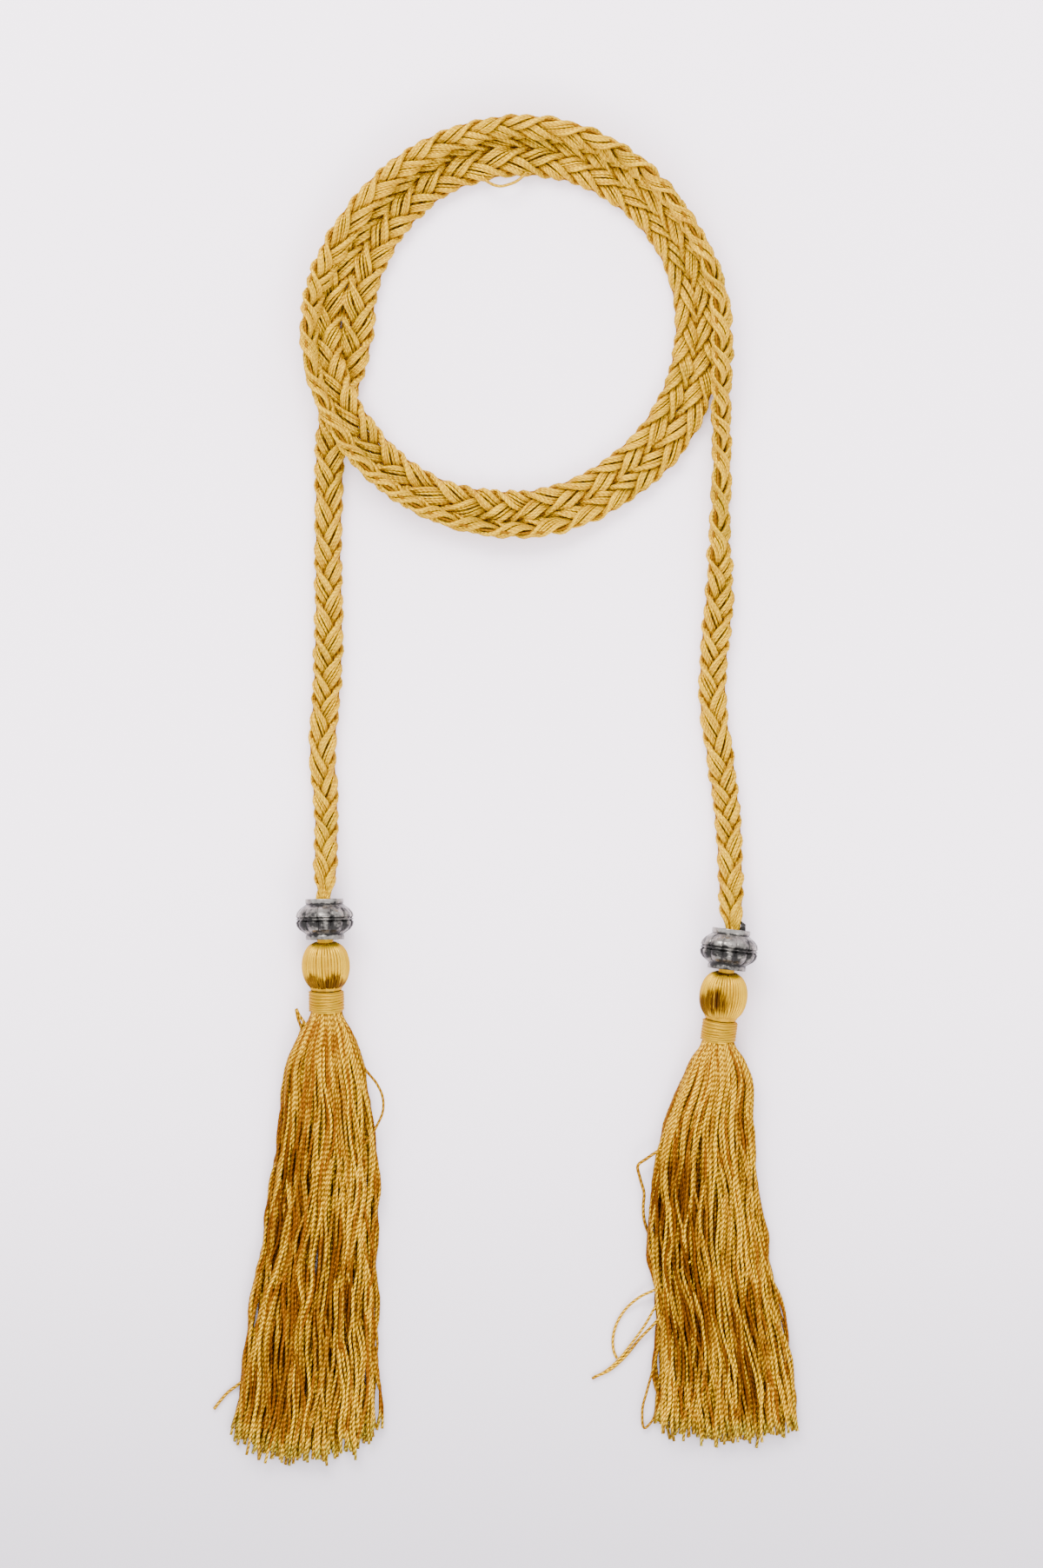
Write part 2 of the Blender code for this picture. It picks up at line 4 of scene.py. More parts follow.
import bmesh
import bpy
import numpy as np
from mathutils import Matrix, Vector


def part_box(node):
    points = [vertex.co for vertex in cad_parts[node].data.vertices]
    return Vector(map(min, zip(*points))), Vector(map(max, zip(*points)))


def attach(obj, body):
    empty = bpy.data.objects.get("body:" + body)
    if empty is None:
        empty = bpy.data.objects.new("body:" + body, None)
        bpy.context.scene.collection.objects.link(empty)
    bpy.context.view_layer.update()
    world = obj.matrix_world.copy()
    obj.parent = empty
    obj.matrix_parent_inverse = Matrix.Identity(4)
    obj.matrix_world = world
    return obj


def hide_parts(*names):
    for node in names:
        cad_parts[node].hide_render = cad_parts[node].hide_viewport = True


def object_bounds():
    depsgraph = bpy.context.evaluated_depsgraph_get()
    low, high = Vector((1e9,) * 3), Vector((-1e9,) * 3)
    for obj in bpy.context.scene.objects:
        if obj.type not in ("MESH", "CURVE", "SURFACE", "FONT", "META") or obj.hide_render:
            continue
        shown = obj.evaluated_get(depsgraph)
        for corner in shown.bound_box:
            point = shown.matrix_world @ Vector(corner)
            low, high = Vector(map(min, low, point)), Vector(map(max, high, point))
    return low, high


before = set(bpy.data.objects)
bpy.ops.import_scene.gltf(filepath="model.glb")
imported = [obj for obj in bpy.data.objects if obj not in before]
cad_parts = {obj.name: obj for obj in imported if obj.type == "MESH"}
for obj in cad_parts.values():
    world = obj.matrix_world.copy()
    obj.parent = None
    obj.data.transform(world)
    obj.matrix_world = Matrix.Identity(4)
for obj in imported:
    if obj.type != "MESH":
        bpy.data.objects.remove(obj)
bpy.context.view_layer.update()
print("frame loaded")

mm = 0.001
seeds = {"lay": 5, "width": 6, "bundles": 7, "core": 8, "head": 11, "left": 13, "right": 14, "loose": 15,
         "coil": 16}


def dice(name):
    return np.random.default_rng(seeds[name])


# Shader maths: a socket that can be added, multiplied and so on like a number
class Wire:
    def __init__(self, finish, socket):
        self.finish = finish
        self.socket = socket

    def maths(self, operation, first, second=0.0):
        return self.finish.node("ShaderNodeMath", {"operation": operation}, {0: first, 1: second})

    def __add__(self, other):
        return self.maths("ADD", self, other)

    __radd__ = __add__

    def __sub__(self, other):
        return self.maths("SUBTRACT", self, other)

    def __rsub__(self, other):
        return self.maths("SUBTRACT", other, self)

    def __mul__(self, other):
        return self.maths("MULTIPLY", self, other)

    __rmul__ = __mul__

    def __truediv__(self, other):
        return self.maths("DIVIDE", self, other)

    def __pow__(self, other):
        return self.maths("POWER", self, other)

    def sine(self):
        return self.maths("SINE", self)

    def kept(self):  # between 0 and 1
        return self.finish.node("ShaderNodeClamp", {}, {"Value": self})


# A material's nodes, made one at a time from a type, its settings and its sockets
class Finish:
    def __init__(self, name):
        self.material = bpy.data.materials.new(name)
        self.material.use_nodes = True
        self.tree = self.material.node_tree
        self.shader = self.tree.nodes["Principled BSDF"]

    def node(self, kind, settings, sockets, out=0):
        made = self.tree.nodes.new(kind)
        for key, value in settings.items():
            setattr(made, key, value)
        for key, value in sockets.items():
            self.plug(made.inputs[key], value)
        return Wire(self, made.outputs[out])

    def plug(self, socket, value):
        if isinstance(value, Wire):
            self.tree.links.new(value.socket, socket)
        elif isinstance(value, tuple) and len(value) == 3 and socket.type == "RGBA":
            socket.default_value = (*value, 1.0)
        else:
            socket.default_value = value

    def set(self, **sockets):
        for key, value in sockets.items():
            self.plug(self.shader.inputs[key.replace("_", " ")], value)

    def blend(self, share, first, second, mode="MIX"):
        settings = {"data_type": "RGBA", "blend_type": mode}
        return self.node("ShaderNodeMix", settings, {0: share, 6: first, 7: second}, out=2)

    def noise(self, where, scale, detail=2.0):
        sockets = {"Vector": where, "Scale": scale, "Detail": detail}
        return self.node("ShaderNodeTexNoise", {}, sockets)

    def bump(self, height, strength, distance):
        sockets = {"Strength": strength, "Distance": distance, "Height": height}
        return self.node("ShaderNodeBump", {}, sockets)

    def place(self):
        return self.node("ShaderNodeTexCoord", {}, {}, out=3)

    def attribute(self, name):
        return self.node("ShaderNodeAttribute", {"attribute_name": name}, {}, out=2)

    def map(self):
        both = self.node("ShaderNodeUVMap", {"uv_map": "yarn"}, {})
        return (self.node("ShaderNodeSeparateXYZ", {}, {0: both}, out=k) for k in (0, 1))


yarnLook = {
    "light": (0.62, 0.37, 0.006),
    "middle": (0.34, 0.165, 0.001),
    "deep": (0.15, 0.052, 0.001),
    "olive": (0.24, 0.165, 0.006),
    "tip": (0.40, 0.33, 0.03),
    "shadow": (0.085, 0.030, 0.002),
    "sheen": (1.0, 0.66, 0.10),
    "gloss": 0.45,               # how much of the light it returns as gold-coloured shine
    "roughness": 0.32,
    "unevenGloss": 0.25,
    "specular": 0.12,
    "groove": 0.45,              # painted shade in the twist's grooves, how dark it is; it also sets the grooves' bump
    "grooveEdge": 1.6,
    "bump": 0.9,
    "bumpDepth": 0.2 * mm,
    "plyLength": 1.3 * mm,       # from one groove of the twist to the next
    "plies": 3,
    "patchSize": 14.0 * mm,      # paler and deeper stretches
    "patches": 1.3,
    "patchSpread": 90.0,         # sets each yarn's patches apart from its neighbours'
    "contrast": 0.75,            # between one yarn and the next
    "paleness": 0.60,
    "wearScale": 260.0,
    "wear": 1.1,
    "age": 0.5,                  # how far it dulls to olive in places
    "ageScale": 90.0,
    "ageEdge": (0.52, 4.0),      # where the dulling starts, and how sharply
    "tipEdge": (1.0, 1.2),
    "deepEdge": (0.0, 1.7),
    "shadowEdge": (0.45, 1.8),
}


def past(value, edge):
    # how far a value is past an edge's start, from 0 to 1
    start, sharpness = edge
    return ((value - start) * sharpness).kept()


def makeYarnFinish(name, **changes):
    # around goes round the yarn and along follows it, in metres; tone is a number for each yarn, 0 deep to
    # 1 pale, and above 1 at a dulled tip
    look = dict(yarnLook, **changes)
    f = Finish(name)
    around, along = f.map()
    where = f.place()
    turn = (along / look["plyLength"] + around * look["plies"]) * (2 * math.pi)
    ply = turn.sine() * 0.5 + 0.5
    worn = f.noise(where, look["wearScale"])
    tone, dark = f.attribute("tone"), f.attribute("dark")
    alone = f.node("ShaderNodeCombineXYZ", {}, {0: tone * look["patchSpread"], 1: along / look["patchSize"]})
    patch = (f.noise(alone, 1.0) - 0.5) * look["patches"]
    own = (tone - 0.5) * look["contrast"] + (worn - 0.5) * look["wear"]
    body = f.blend((own + patch + look["paleness"]).kept(), look["middle"], look["light"])
    dulled = past(f.noise(where, look["ageScale"]), look["ageEdge"]) * look["age"]
    aged = f.blend(dulled, body, look["olive"])
    tipped = f.blend(past(tone, look["tipEdge"]), aged, look["tip"])
    # painted shade in the twist's grooves
    twisted = f.blend((1 - ply) ** look["grooveEdge"] * look["groove"], tipped, look["deep"])
    # painted shade from the dark attribute, through deep to shadow: the core between the bundles, the
    # fringes' low yarns, patches and throats, and the dark sheen bands on the heads; elsewhere it only makes
    # some yarns darker
    warm = f.blend(past(dark, look["deepEdge"]), twisted, look["deep"])
    f.set(Base_Color=f.blend(past(dark, look["shadowEdge"]), warm, look["shadow"]))
    f.set(Roughness=worn * look["unevenGloss"] + look["roughness"])
    f.set(Metallic=look["gloss"], Specular_IOR_Level=look["specular"], Specular_Tint=look["sheen"])
    f.set(Normal=f.bump(ply * look["groove"], look["bump"], look["bumpDepth"]))
    return f.material


braidYarn = makeYarnFinish("braidYarn")
fringeYarn = makeYarnFinish("fringeYarn", light=(0.76, 0.44, 0.006), middle=(0.19, 0.058, 0.001),
                            deep=(0.10, 0.028, 0.001), shadow=(0.05, 0.014, 0.002), patches=2.6,
                            groove=0.95, contrast=1.4, paleness=0.62, age=0.15, plyLength=1.5 * mm)
floss = makeYarnFinish("floss", light=(0.54, 0.32, 0.005), deep=(0.17, 0.078, 0.001), gloss=0.6,
                       shadow=(0.035, 0.010, 0.002), groove=0.08, roughness=0.26, patches=1.04)
print("yarn finishes made")


# The belt's route, the same points as its solids have, in millimetres from the coil's centre:
# x, y, width and depth as shares of the braid's own, and roll in degrees
route = {
    "leftLeg": (
        (-54.3, -154.0, 0.84, 1.00, 0), (-54.3, -136.3, 0.90, 1.00, 0), (-55.3, -121.5, 0.96, 1.00, 0),
        (-54.2, -107.5, 1.00, 1.00, 0), (-53.4, -86.8, 1.00, 1.00, 0), (-53.6, -66.3, 1.00, 1.00, 0),
        (-53.3, -45.5, 1.00, 1.00, 0), (-53.0, -35.0, 1.00, 1.00, 0), (-51.9, -25.8, 1.00, 0.94, 0),
        (-48.9, -16.4, 1.00, 0.94, 0), (-46.4, -7.6, 1.00, 0.98, 0),
    ),
    "rightLeg": (
        (59.7, -9.0, 0.90, 0.95, -120), (59.4, -20.0, 0.90, 0.95, -112), (59.6, -39.5, 0.90, 0.95, -110),
        (59.0, -59.0, 0.92, 0.95, -125), (58.8, -79.0, 1.00, 1.00, -168), (57.4, -94.0, 1.00, 1.00, -180),
        (57.0, -107.3, 1.00, 1.00, -180), (59.3, -125.0, 0.98, 1.00, -180), (61.3, -141.8, 0.94, 1.00, -180),
        (62.1, -158.0, 0.86, 1.00, -180),
    ),
    # turn in degrees, radius as a share of coilRadius, then width, depth and roll
    "coil": (
        (0, 0.905, 1.00, 1.00, 0), (30, 0.905, 1.02, 1.00, 0), (60, 0.932, 1.00, 1.00, 0),
        (90, 0.950, 1.00, 1.00, 0), (120, 0.968, 0.86, 1.00, 0), (150, 0.990, 0.75, 0.95, 0),
        (180, 0.990, 0.76, 0.95, 0), (210, 0.990, 0.78, 0.95, 0), (240, 1.000, 0.82, 0.95, 0),
        (270, 1.034, 0.92, 1.00, 0), (300, 1.058, 1.00, 1.00, 0), (330, 1.070, 1.00, 1.00, 0),
        (360, 1.084, 0.90, 1.00, 0), (390, 1.058, 0.84, 1.00, 0), (420, 1.079, 0.82, 0.95, 0),
        (450, 1.094, 0.78, 0.92, 0), (480, 1.094, 0.76, 0.92, 0), (510, 1.100, 0.74, 0.90, 0),
        (540, 1.112, 0.76, 0.92, 0), (570, 1.132, 0.92, 0.95, 0), (600, 1.134, 0.80, 0.95, -10),
        (630, 1.164, 0.86, 0.84, -70), (660, 1.172, 0.86, 0.84, -84), (690, 1.180, 0.86, 0.84, -84),
        (720, 1.180, 0.86, 0.86, -70), (750, 1.118, 0.84, 0.92, -18), (780, 1.122, 0.78, 0.95, -10),
        (810, 1.148, 0.78, 0.95, -16), (840, 1.156, 0.80, 0.92, -45), (870, 1.160, 0.86, 0.88, -90),
        (895, 1.192, 0.90, 0.92, -118),
    ),
    "coilRadius": 50.0 * mm,
    "coilStep": 10,
    "mouthWidth": 0.76,
    "climb": 0.30,               # the steepest it climbs over itself
    "passGap": 0.62 * mm,
    "floorGap": 0.25 * mm,
    "samePass": 35.0 * mm,
    "settling": 5,               # rounds of laying it down
    "smoothing": 3,
    "rise": 28.0 * mm,           # the stretch over which it rises to a bead
    "squareness": 3.2,
    "step": 1.1 * mm,
    "fineStep": 0.25 * mm,
}
braid = {
    "bundles": 3,
    "width": 4.05 * mm,
    "thickness": 1.4 * mm,
    "clearance": 0.35 * mm,
    "lay": 30.8 * mm,            # one bundle's way from edge to edge and back
    "firstPhase": 30,
    "startRoll": -90,
    "swayRoll": 114.6,
    "swing": 0.21,               # extra sideways swing and rise, shares of a bundle's width
    "rise": 0.216,
    "edge": 0.84,
    "face": 0.79,
    "faceRise": 0.87,
    "gatherRadius": 1.3 * mm,
    "gather": 7.0 * mm,
    # where passes lie apart
    "spread": {"at": ((391, 358), (574, 604)), "reach": 15 * mm, "extra": 0.21},
    "gathering": 0.62,           # how round the bundles are drawn together at a bead
    "intoBead": 5.0 * mm,
    "yarns": 16,                 # in each bundle
    "yarnRadius": 0.38 * mm,
    "fullness": 1.12,            # how far the yarns spread beyond the solid's own width, in the coil
    "legFullness": 1.03,
    "legLength": 140.0 * mm,
    "legBlend": 30.0 * mm,
    "sway": 0.90,                # how far each bundle swings and how wide it is, shares of its solid's
    "bundleSpread": 1.22,
    "unevenLay": 0.28,           # in radians, then as a share of the width
    "unevenWidth": 0.05,
    "unevenReach": 75.0 * mm,
    "coreYarns": 10,
    "coreRadius": 0.42 * mm,
    "coreReach": 0.84,           # how far they lie to each side, as a share of the half width
    "coreStep": 2.0 * mm,
    "coreWander": 0.1 * mm,
    "coreGathered": 0.45,        # its width at a bead
    "coreTone": 0.1,
    # painted shade on the core yarns, between the bundles
    "coreShade": 0.5,
    "stepsPerLay": 22,
    "endSteps": 8,
    "yarnSides": 5,
    "wander": 0.20 * mm,         # of each yarn in its bundle, over this reach
    "wanderReach": 60 * mm,
    "wanderShares": (1.0, 0.5),  # across and through the bundle
    "flatness": 0.75,            # how square the bundle's ends are
    "plump": 1.25,               # its thickness beyond the solid's, as a share and more
    "plumpExtra": 0.11 * mm,
    "packing": 0.72,             # how tightly it fills its share of a bead's bore
    "tones": (0.15, 1.0),
}
beads = {
    "left": {"centre": (-54.5, -170.3), "heading": 1.1},
    "right": {"centre": (61.6, -179.0), "heading": -6.9},
    "radius": 8.15 * mm,
    "length": 11.7 * mm,
}
beadLow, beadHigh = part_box("bead_left")
shift = (Vector(beadLow) + Vector(beadHigh)) / 2 - Vector((*beads["left"]["centre"], 0)) * mm
shift.z = 0.0
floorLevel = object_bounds()[0][2]


def beadAxis(side):
    x, y = beads[side]["centre"]
    turn = math.radians(beads[side]["heading"])
    centre = Vector((x * mm, y * mm, 0)) + shift + Vector((0, 0, beads["radius"]))
    return centre, Vector((math.sin(turn), -math.cos(turn), 0))


# Camera, straight above, at the photograph's framing
view = {"width": 1200, "height": 1804, "pixel": 0.25 * mm, "coilAt": (592, 376), "distance": 5.0,
        "sensor": 36.0}


def fromPixel(x, y, z=0.0):
    away = ((x - view["coilAt"][0]) * view["pixel"], (view["coilAt"][1] - y) * view["pixel"])
    return Vector((away[0] + shift.x, away[1] + shift.y, z))


def makeCamera():
    data = bpy.data.cameras.new("camera")
    data.sensor_fit = "VERTICAL"
    data.sensor_height = view["sensor"]
    data.lens = view["sensor"] * view["distance"] / (view["height"] * view["pixel"])
    camera = bpy.data.objects.new("camera", data)
    camera.location = fromPixel(view["width"] / 2, view["height"] / 2, view["distance"])
    bpy.context.scene.collection.objects.link(camera)
    bpy.context.scene.camera = camera


makeCamera()


def smoothTable(rows, places):
    # a smooth curve through every row, read along the first column
    rows = np.array(rows, float)
    at, values = rows[:, 0], rows[:, 1:]
    slopes = np.gradient(values, at, axis=0)
    i = np.clip(np.searchsorted(at, places, side="right") - 1, 0, len(at) - 2)
    span = (at[i + 1] - at[i])[:, None]
    t = ((places - at[i])[:, None]) / span
    return (values[i] * (2 * t**3 - 3 * t**2 + 1) + values[i + 1] * (3 * t**2 - 2 * t**3)
            + slopes[i] * span * (t**3 - 2 * t**2 + t) + slopes[i + 1] * span * (t**3 - t**2))


def routePoints():
    degrees = np.arange(route["coil"][0][0], route["coil"][-1][0] + 1, route["coilStep"])
    coil = smoothTable(route["coil"], degrees)
    angle, radius = np.radians(degrees), coil[:, 0] * route["coilRadius"]
    turns = np.column_stack([-radius * np.cos(angle), radius * np.sin(angle), coil[:, 1:]])
    turns[:, :2] += (shift.x, shift.y)
    scale, move = np.array([mm, mm, 1, 1, 1]), np.array([shift.x, shift.y, 0, 0, 0])
    legs = [np.array(route[leg]) * scale + move for leg in ("leftLeg", "rightLeg")]
    ends = []
    for side, roll in (("left", legs[0][0, -1]), ("right", legs[1][-1, -1])):
        centre, heading = beadAxis(side)
        mouth = centre - heading * beads["length"] / 2
        ends.append([mouth.x, mouth.y, route["mouthWidth"], 1.0, roll])
    return np.vstack([ends[0], legs[0], turns, legs[1], ends[1]])


def eased(share):  # a soft start and a soft end
    return share * share * (3 - 2 * share)


def resample(points, spacing):
    steps = np.hypot(*np.diff(points[:, :2], axis=0).T)
    rows = np.column_stack([np.concatenate([[0], np.cumsum(steps)]), points])
    fine = np.linspace(0, rows[-1, 0], int(rows[-1, 0] / route["fineStep"]))
    dense = smoothTable(rows, fine)
    length = np.concatenate([[0], np.cumsum(np.hypot(*np.diff(dense[:, :2], axis=0).T))])
    even = np.linspace(0, length[-1], max(2, round(length[-1] / spacing)) + 1)
    return even, np.column_stack([np.interp(even, length, column) for column in dense.T])


def braidSize():
    layer = braid["thickness"] + braid["clearance"]
    swing = layer + braid["swing"] * braid["width"]
    rise = (layer + braid["rise"] * braid["width"]) / math.sqrt(3)
    halfWidth = swing + braid["edge"] * braid["thickness"]
    halfDepth = braid["faceRise"] * rise + braid["face"] * braid["thickness"]
    return swing, rise, halfWidth, halfDepth


acrossPlaces = np.linspace(-1, 1, 21)


def topOfSection(width, depth, roll):
    _, _, halfWidth, halfDepth = braidSize()
    t = np.linspace(0, 2 * math.pi, 181)[:-1]
    power = 2 / route["squareness"]
    u = halfWidth * width * np.sign(np.cos(t)) * np.abs(np.cos(t)) ** power
    v = halfDepth * depth * np.sign(np.sin(t)) * np.abs(np.sin(t)) ** power
    c, s = math.cos(math.radians(roll)), math.sin(math.radians(roll))
    across, up = u * c - v * s, u * s + v * c
    span = across.max()
    return span, np.array([up[np.abs(across - at * span) < 0.06 * span].max() for at in acrossPlaces])


def layDown(length, rows):
    # the height of the braid's middle, lying on the floor and on what was laid before it
    shape = [topOfSection(*row[2:5]) for row in rows]
    span, top = np.array([s[0] for s in shape]), np.array([s[1] for s in shape])
    ahead = np.gradient(rows[:, :2], axis=0)
    ahead /= np.linalg.norm(ahead, axis=1)[:, None]
    left = np.column_stack([-ahead[:, 1], ahead[:, 0]])
    step = length[1] - length[0]
    floor, last = top.max(axis=1), len(acrossPlaces) - 1
    height = floor.copy()
    apart = np.abs(length[:, None] - length[None])
    for _ in range(route["settling"]):
        need = floor.copy()
        for i in range(len(rows)):
            under = np.nonzero(length < length[i] - route["samePass"])[0]
            near = np.linalg.norm(rows[under, :2] - rows[i, :2], axis=1)
            under = under[near < span[i] + span.max() + step]
            if not len(under):
                continue
            spots = rows[i, :2] + np.outer(acrossPlaces * span[i], left[i])
            offset = spots[:, None] - rows[under, :2]
            along = np.abs((offset * ahead[under]).sum(2))
            across = (offset * left[under]).sum(2) / span[under]
            touching = (along < 0.75 * step) & (np.abs(across) <= 1)
            if not touching.any():
                continue
            k = np.clip(np.round((across + 1) / 2 * last), 0, last).astype(int)
            lift = height[under] + top[under, k] + route["passGap"] + top[i, ::-1][:, None]
            need[i] = max(need[i], lift[touching].max())
        height = np.maximum((need[None] - route["climb"] * apart).max(axis=1), floor)
    return height


def braidPath():
    length, rows = resample(routePoints(), route["step"])
    height = layDown(length, rows)
    half = route["smoothing"]
    padded = np.concatenate([np.full(half, height[0]), height, np.full(half, height[-1])])
    evenly = np.ones(2 * half + 1) / (2 * half + 1)
    height = np.convolve(padded, evenly, mode="valid") + route["floorGap"]
    for fromEnd in (length, length[-1] - length):
        share = eased(np.clip(1 - fromEnd / route["rise"], 0, 1))
        height = height * (1 - share) + beads["radius"] * share
    return length, np.column_stack([rows[:, :2], height + floorLevel, rows[:, 2:]])


pathLength, path = braidPath()
print("route worked out:", round(pathLength[-1], 3), "m")


def unit(vectors):
    return vectors / np.linalg.norm(vectors, axis=-1, keepdims=True)


def readPath(places, columns=slice(None)):
    return np.column_stack([np.interp(places, pathLength, column) for column in path[:, columns].T])


def framesAt(places):
    # middle, across and up of the rolled braid at many places
    near = 1.2 * mm
    low, high = np.clip(places - near, 0, None), np.clip(places + near, None, pathLength[-1])
    ahead = unit(readPath(high, slice(0, 3)) - readPath(low, slice(0, 3)))
    flat = unit(np.cross((0, 0, 1), ahead))
    rows = readPath(places)
    roll = np.radians(-rows[:, 5])[:, None]
    across = flat * np.cos(roll) + np.cross(ahead, flat) * np.sin(roll)
    return rows[:, :3], across, np.cross(ahead, across), rows[:, 3:5]


def tubes(name, lines, radii, tones, sides, finish, darks=None, reference=(0, 0, 1)):
    # closed round yarns along many lines, as one mesh; the map holds way round and metres along
    corners, faces, maps, tone, dark, base = [], [], [], [], [], 0
    darks = [0.0] * len(lines) if darks is None else darks
    angle = 2 * math.pi * np.arange(sides) / sides
    j = np.arange(sides)
    starts = np.random.default_rng(len(lines)).uniform(0, 10 * mm, len(lines))  # no two twists line up
    for line, radius, shade, darkness, start in zip(lines, radii, tones, darks, starts):
        n = len(line)
        ahead = unit(np.gradient(line, axis=0))
        side = unit(np.cross(ahead, reference))
        up = np.cross(side, ahead)
        ring = side[:, None] * np.cos(angle)[:, None] + up[:, None] * np.sin(angle)[:, None]
        corners.append((line[:, None] + np.broadcast_to(radius, n)[:, None, None] * ring).reshape(-1, 3))
        along = start + np.concatenate([[0], np.cumsum(np.linalg.norm(np.diff(line, axis=0), axis=1))])
        i = np.arange(n - 1)[:, None] * sides
        quads = np.stack([i + j, i + (j + 1) % sides, i + sides + (j + 1) % sides, i + sides + j], -1)
        faces.append(quads.reshape(-1, 4) + base)
        around = np.stack([j, j + 1, j + 1, j], -1) / sides
        way = np.stack([along[:-1], along[:-1], along[1:], along[1:]], -1)
        uv = np.stack(np.broadcast_arrays(around[None], way[:, None]), -1)
        maps.append(uv.reshape(-1, 2))
        tone.append(np.broadcast_to(shade, n).repeat(sides))
        dark.append(np.broadcast_to(darkness, n).repeat(sides))
        base += n * sides
    quads = np.concatenate(faces)
    ends, at = [], 0
    for line in lines:
        ends += [list(range(at + sides - 1, at - 1, -1))]
        at += len(line) * sides
        ends += [list(range(at - sides, at))]
    mesh = bpy.data.meshes.new(name)
    mesh.from_pydata(np.concatenate(corners), [], quads.tolist() + ends)
    layer = mesh.uv_layers.new(name="yarn")
    uv = np.concatenate(maps + [np.zeros((len(ends) * sides, 2))])
    layer.uv.foreach_set("vector", uv.astype(np.float32).ravel())
    return addPiece(name, mesh, finish, tone=np.concatenate(tone), dark=np.concatenate(dark))


def addPiece(name, mesh, finish, **numbers):
    # the numbers are one for each corner of the mesh, for its finish
    for key, values in numbers.items():
        attribute = mesh.attributes.new(key, "FLOAT", "POINT")
        attribute.data.foreach_set("value", values.astype(np.float32))
    mesh.shade_smooth()
    piece = bpy.data.objects.new(name, mesh)
    bpy.context.scene.collection.objects.link(piece)
    mesh.materials.append(finish)
    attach(piece, "root")
    return piece


def waves(rng, count, places, longest, size):
    # slow smooth wandering for each of many yarns, from a few sines of random phase
    total = np.zeros((count, len(places)))
    for k in (1, 2, 3):
        turns = rng.uniform(0.7, 1.3, (count, 1)) * k / longest
        total += np.sin(2 * math.pi * turns * places + rng.uniform(0, 2 * math.pi, (count, 1))) / k
    return size * total / 1.5


def intoBeads(line):
    into = []
    for side, end in (("left", line[0]), ("right", line[-1])):
        _, heading = beadAxis(side)
        into.append(end + np.array(heading) * braid["intoBead"])
    return np.vstack([into[0], line, into[1]])


def fullnessAt(places, middle):
    # the width of the braid as a share of its solid's: fuller in the coil and where its passes lie apart
    spread = braid["spread"]
    spots = np.array([fromPixel(*spot)[:2] for spot in spread["at"]])
    away = np.linalg.norm(middle[:, None, :2] - spots, axis=2).min(axis=1)
    fromEnd = np.minimum(places, pathLength[-1] - places)
    inCoil = np.clip((fromEnd - braid["legLength"]) / braid["legBlend"] + 1, 0, 1)
    hand = waves(dice("width"), 1, places, braid["unevenReach"], braid["unevenWidth"])[0]
    extra = spread["extra"] * np.exp(-(away / spread["reach"]) ** 2)
    return braid["legFullness"] + (braid["fullness"] - braid["legFullness"]) * inCoil + extra + hand


def bundleYarns(k, rng):
    # centre lines of the yarns in one bundle of the braid
    total = pathLength[-1]
    plaited = total - 2 * braid["gather"]
    lays = max(1, round(plaited / braid["lay"]))
    places = np.concatenate([
        np.linspace(0, braid["gather"], braid["endSteps"])[:-1],
        np.linspace(braid["gather"], total - braid["gather"], lays * braid["stepsPerLay"] + 1),
        np.linspace(total - braid["gather"], total, braid["endSteps"])[1:],
    ])
    start = math.radians(braid["firstPhase"] + 360 / braid["bundles"] * k)
    hand = waves(dice("lay"), 1, places, braid["unevenReach"], braid["unevenLay"])[0]
    phase = start + 2 * math.pi * lays * (places - braid["gather"]) / plaited + hand
    middle, across, up, shares = framesAt(places)
    swing, rise, _, _ = braidSize()
    turn = np.radians(braid["startRoll"] + braid["swayRoll"] * np.cos(phase))
    plaitAt = np.stack([braid["sway"] * swing * np.sin(phase), rise * np.sin(2 * phase)], 1)
    # gathered into the bead, in a triangle
    ring = 2 * braid["gatherRadius"] / math.sqrt(3)
    if math.sin(start) < -0.9:
        gatherAt = np.array([-ring, 0])
    else:
        gatherAt = np.array([ring / 2, math.copysign(ring * math.sqrt(3) / 2, math.sin(2 * start))])
    fromEnd = np.clip(np.minimum(places, total - places) / braid["gather"], 0, 1)
    loose = 1 - braid["gathering"] * (1 - eased(fromEnd))[:, None]
    full = np.column_stack([fullnessAt(places, middle), np.ones(len(places))])
    r = braid["yarnRadius"]
    wide = braid["bundleSpread"] * braid["width"] / 2 - r
    thick = braid["plump"] * (braid["thickness"] / 2 - r) + braid["plumpExtra"]
    count = braid["yarns"]
    wander = waves(rng, 2 * count, places, braid["wanderReach"], braid["wander"])
    lines = []
    for m in range(count):
        a = 2 * math.pi * (m + 0.5) / count
        flat = np.array([wide * np.sign(np.cos(a)) * abs(np.cos(a)) ** braid["flatness"], thick * np.sin(a)])
        own = flat + wander[2 * m:2 * m + 2].T * braid["wanderShares"]
        packed = braid["packing"] * braid["gatherRadius"] * np.array([math.cos(a), math.sin(a)])
        x = own[:, 0] * np.cos(turn) - own[:, 1] * np.sin(turn)
        y = own[:, 0] * np.sin(turn) + own[:, 1] * np.cos(turn)
        plaitSpot = (np.stack([x, y], 1) + plaitAt) * shares * full
        spot = plaitSpot * loose + (packed + gatherAt) * (1 - loose)
        line = middle + across * spot[:, :1] + up * spot[:, 1:]
        line[:, 2] = np.maximum(line[:, 2], floorLevel + r)
        lines.append(intoBeads(line))
    return lines


def makeBraid():
    rng = dice("bundles")
    made = []
    for k in range(braid["bundles"]):
        lines = bundleYarns(k, rng)
        tones = rng.uniform(*braid["tones"], len(lines))
        piece = tubes(f"braid_bundle_{k + 1}", lines, [braid["yarnRadius"]] * len(lines), tones,
                      braid["yarnSides"], braidYarn)
        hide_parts(f"braid_strand_{k + 1}")
        made.append(piece)
    return made


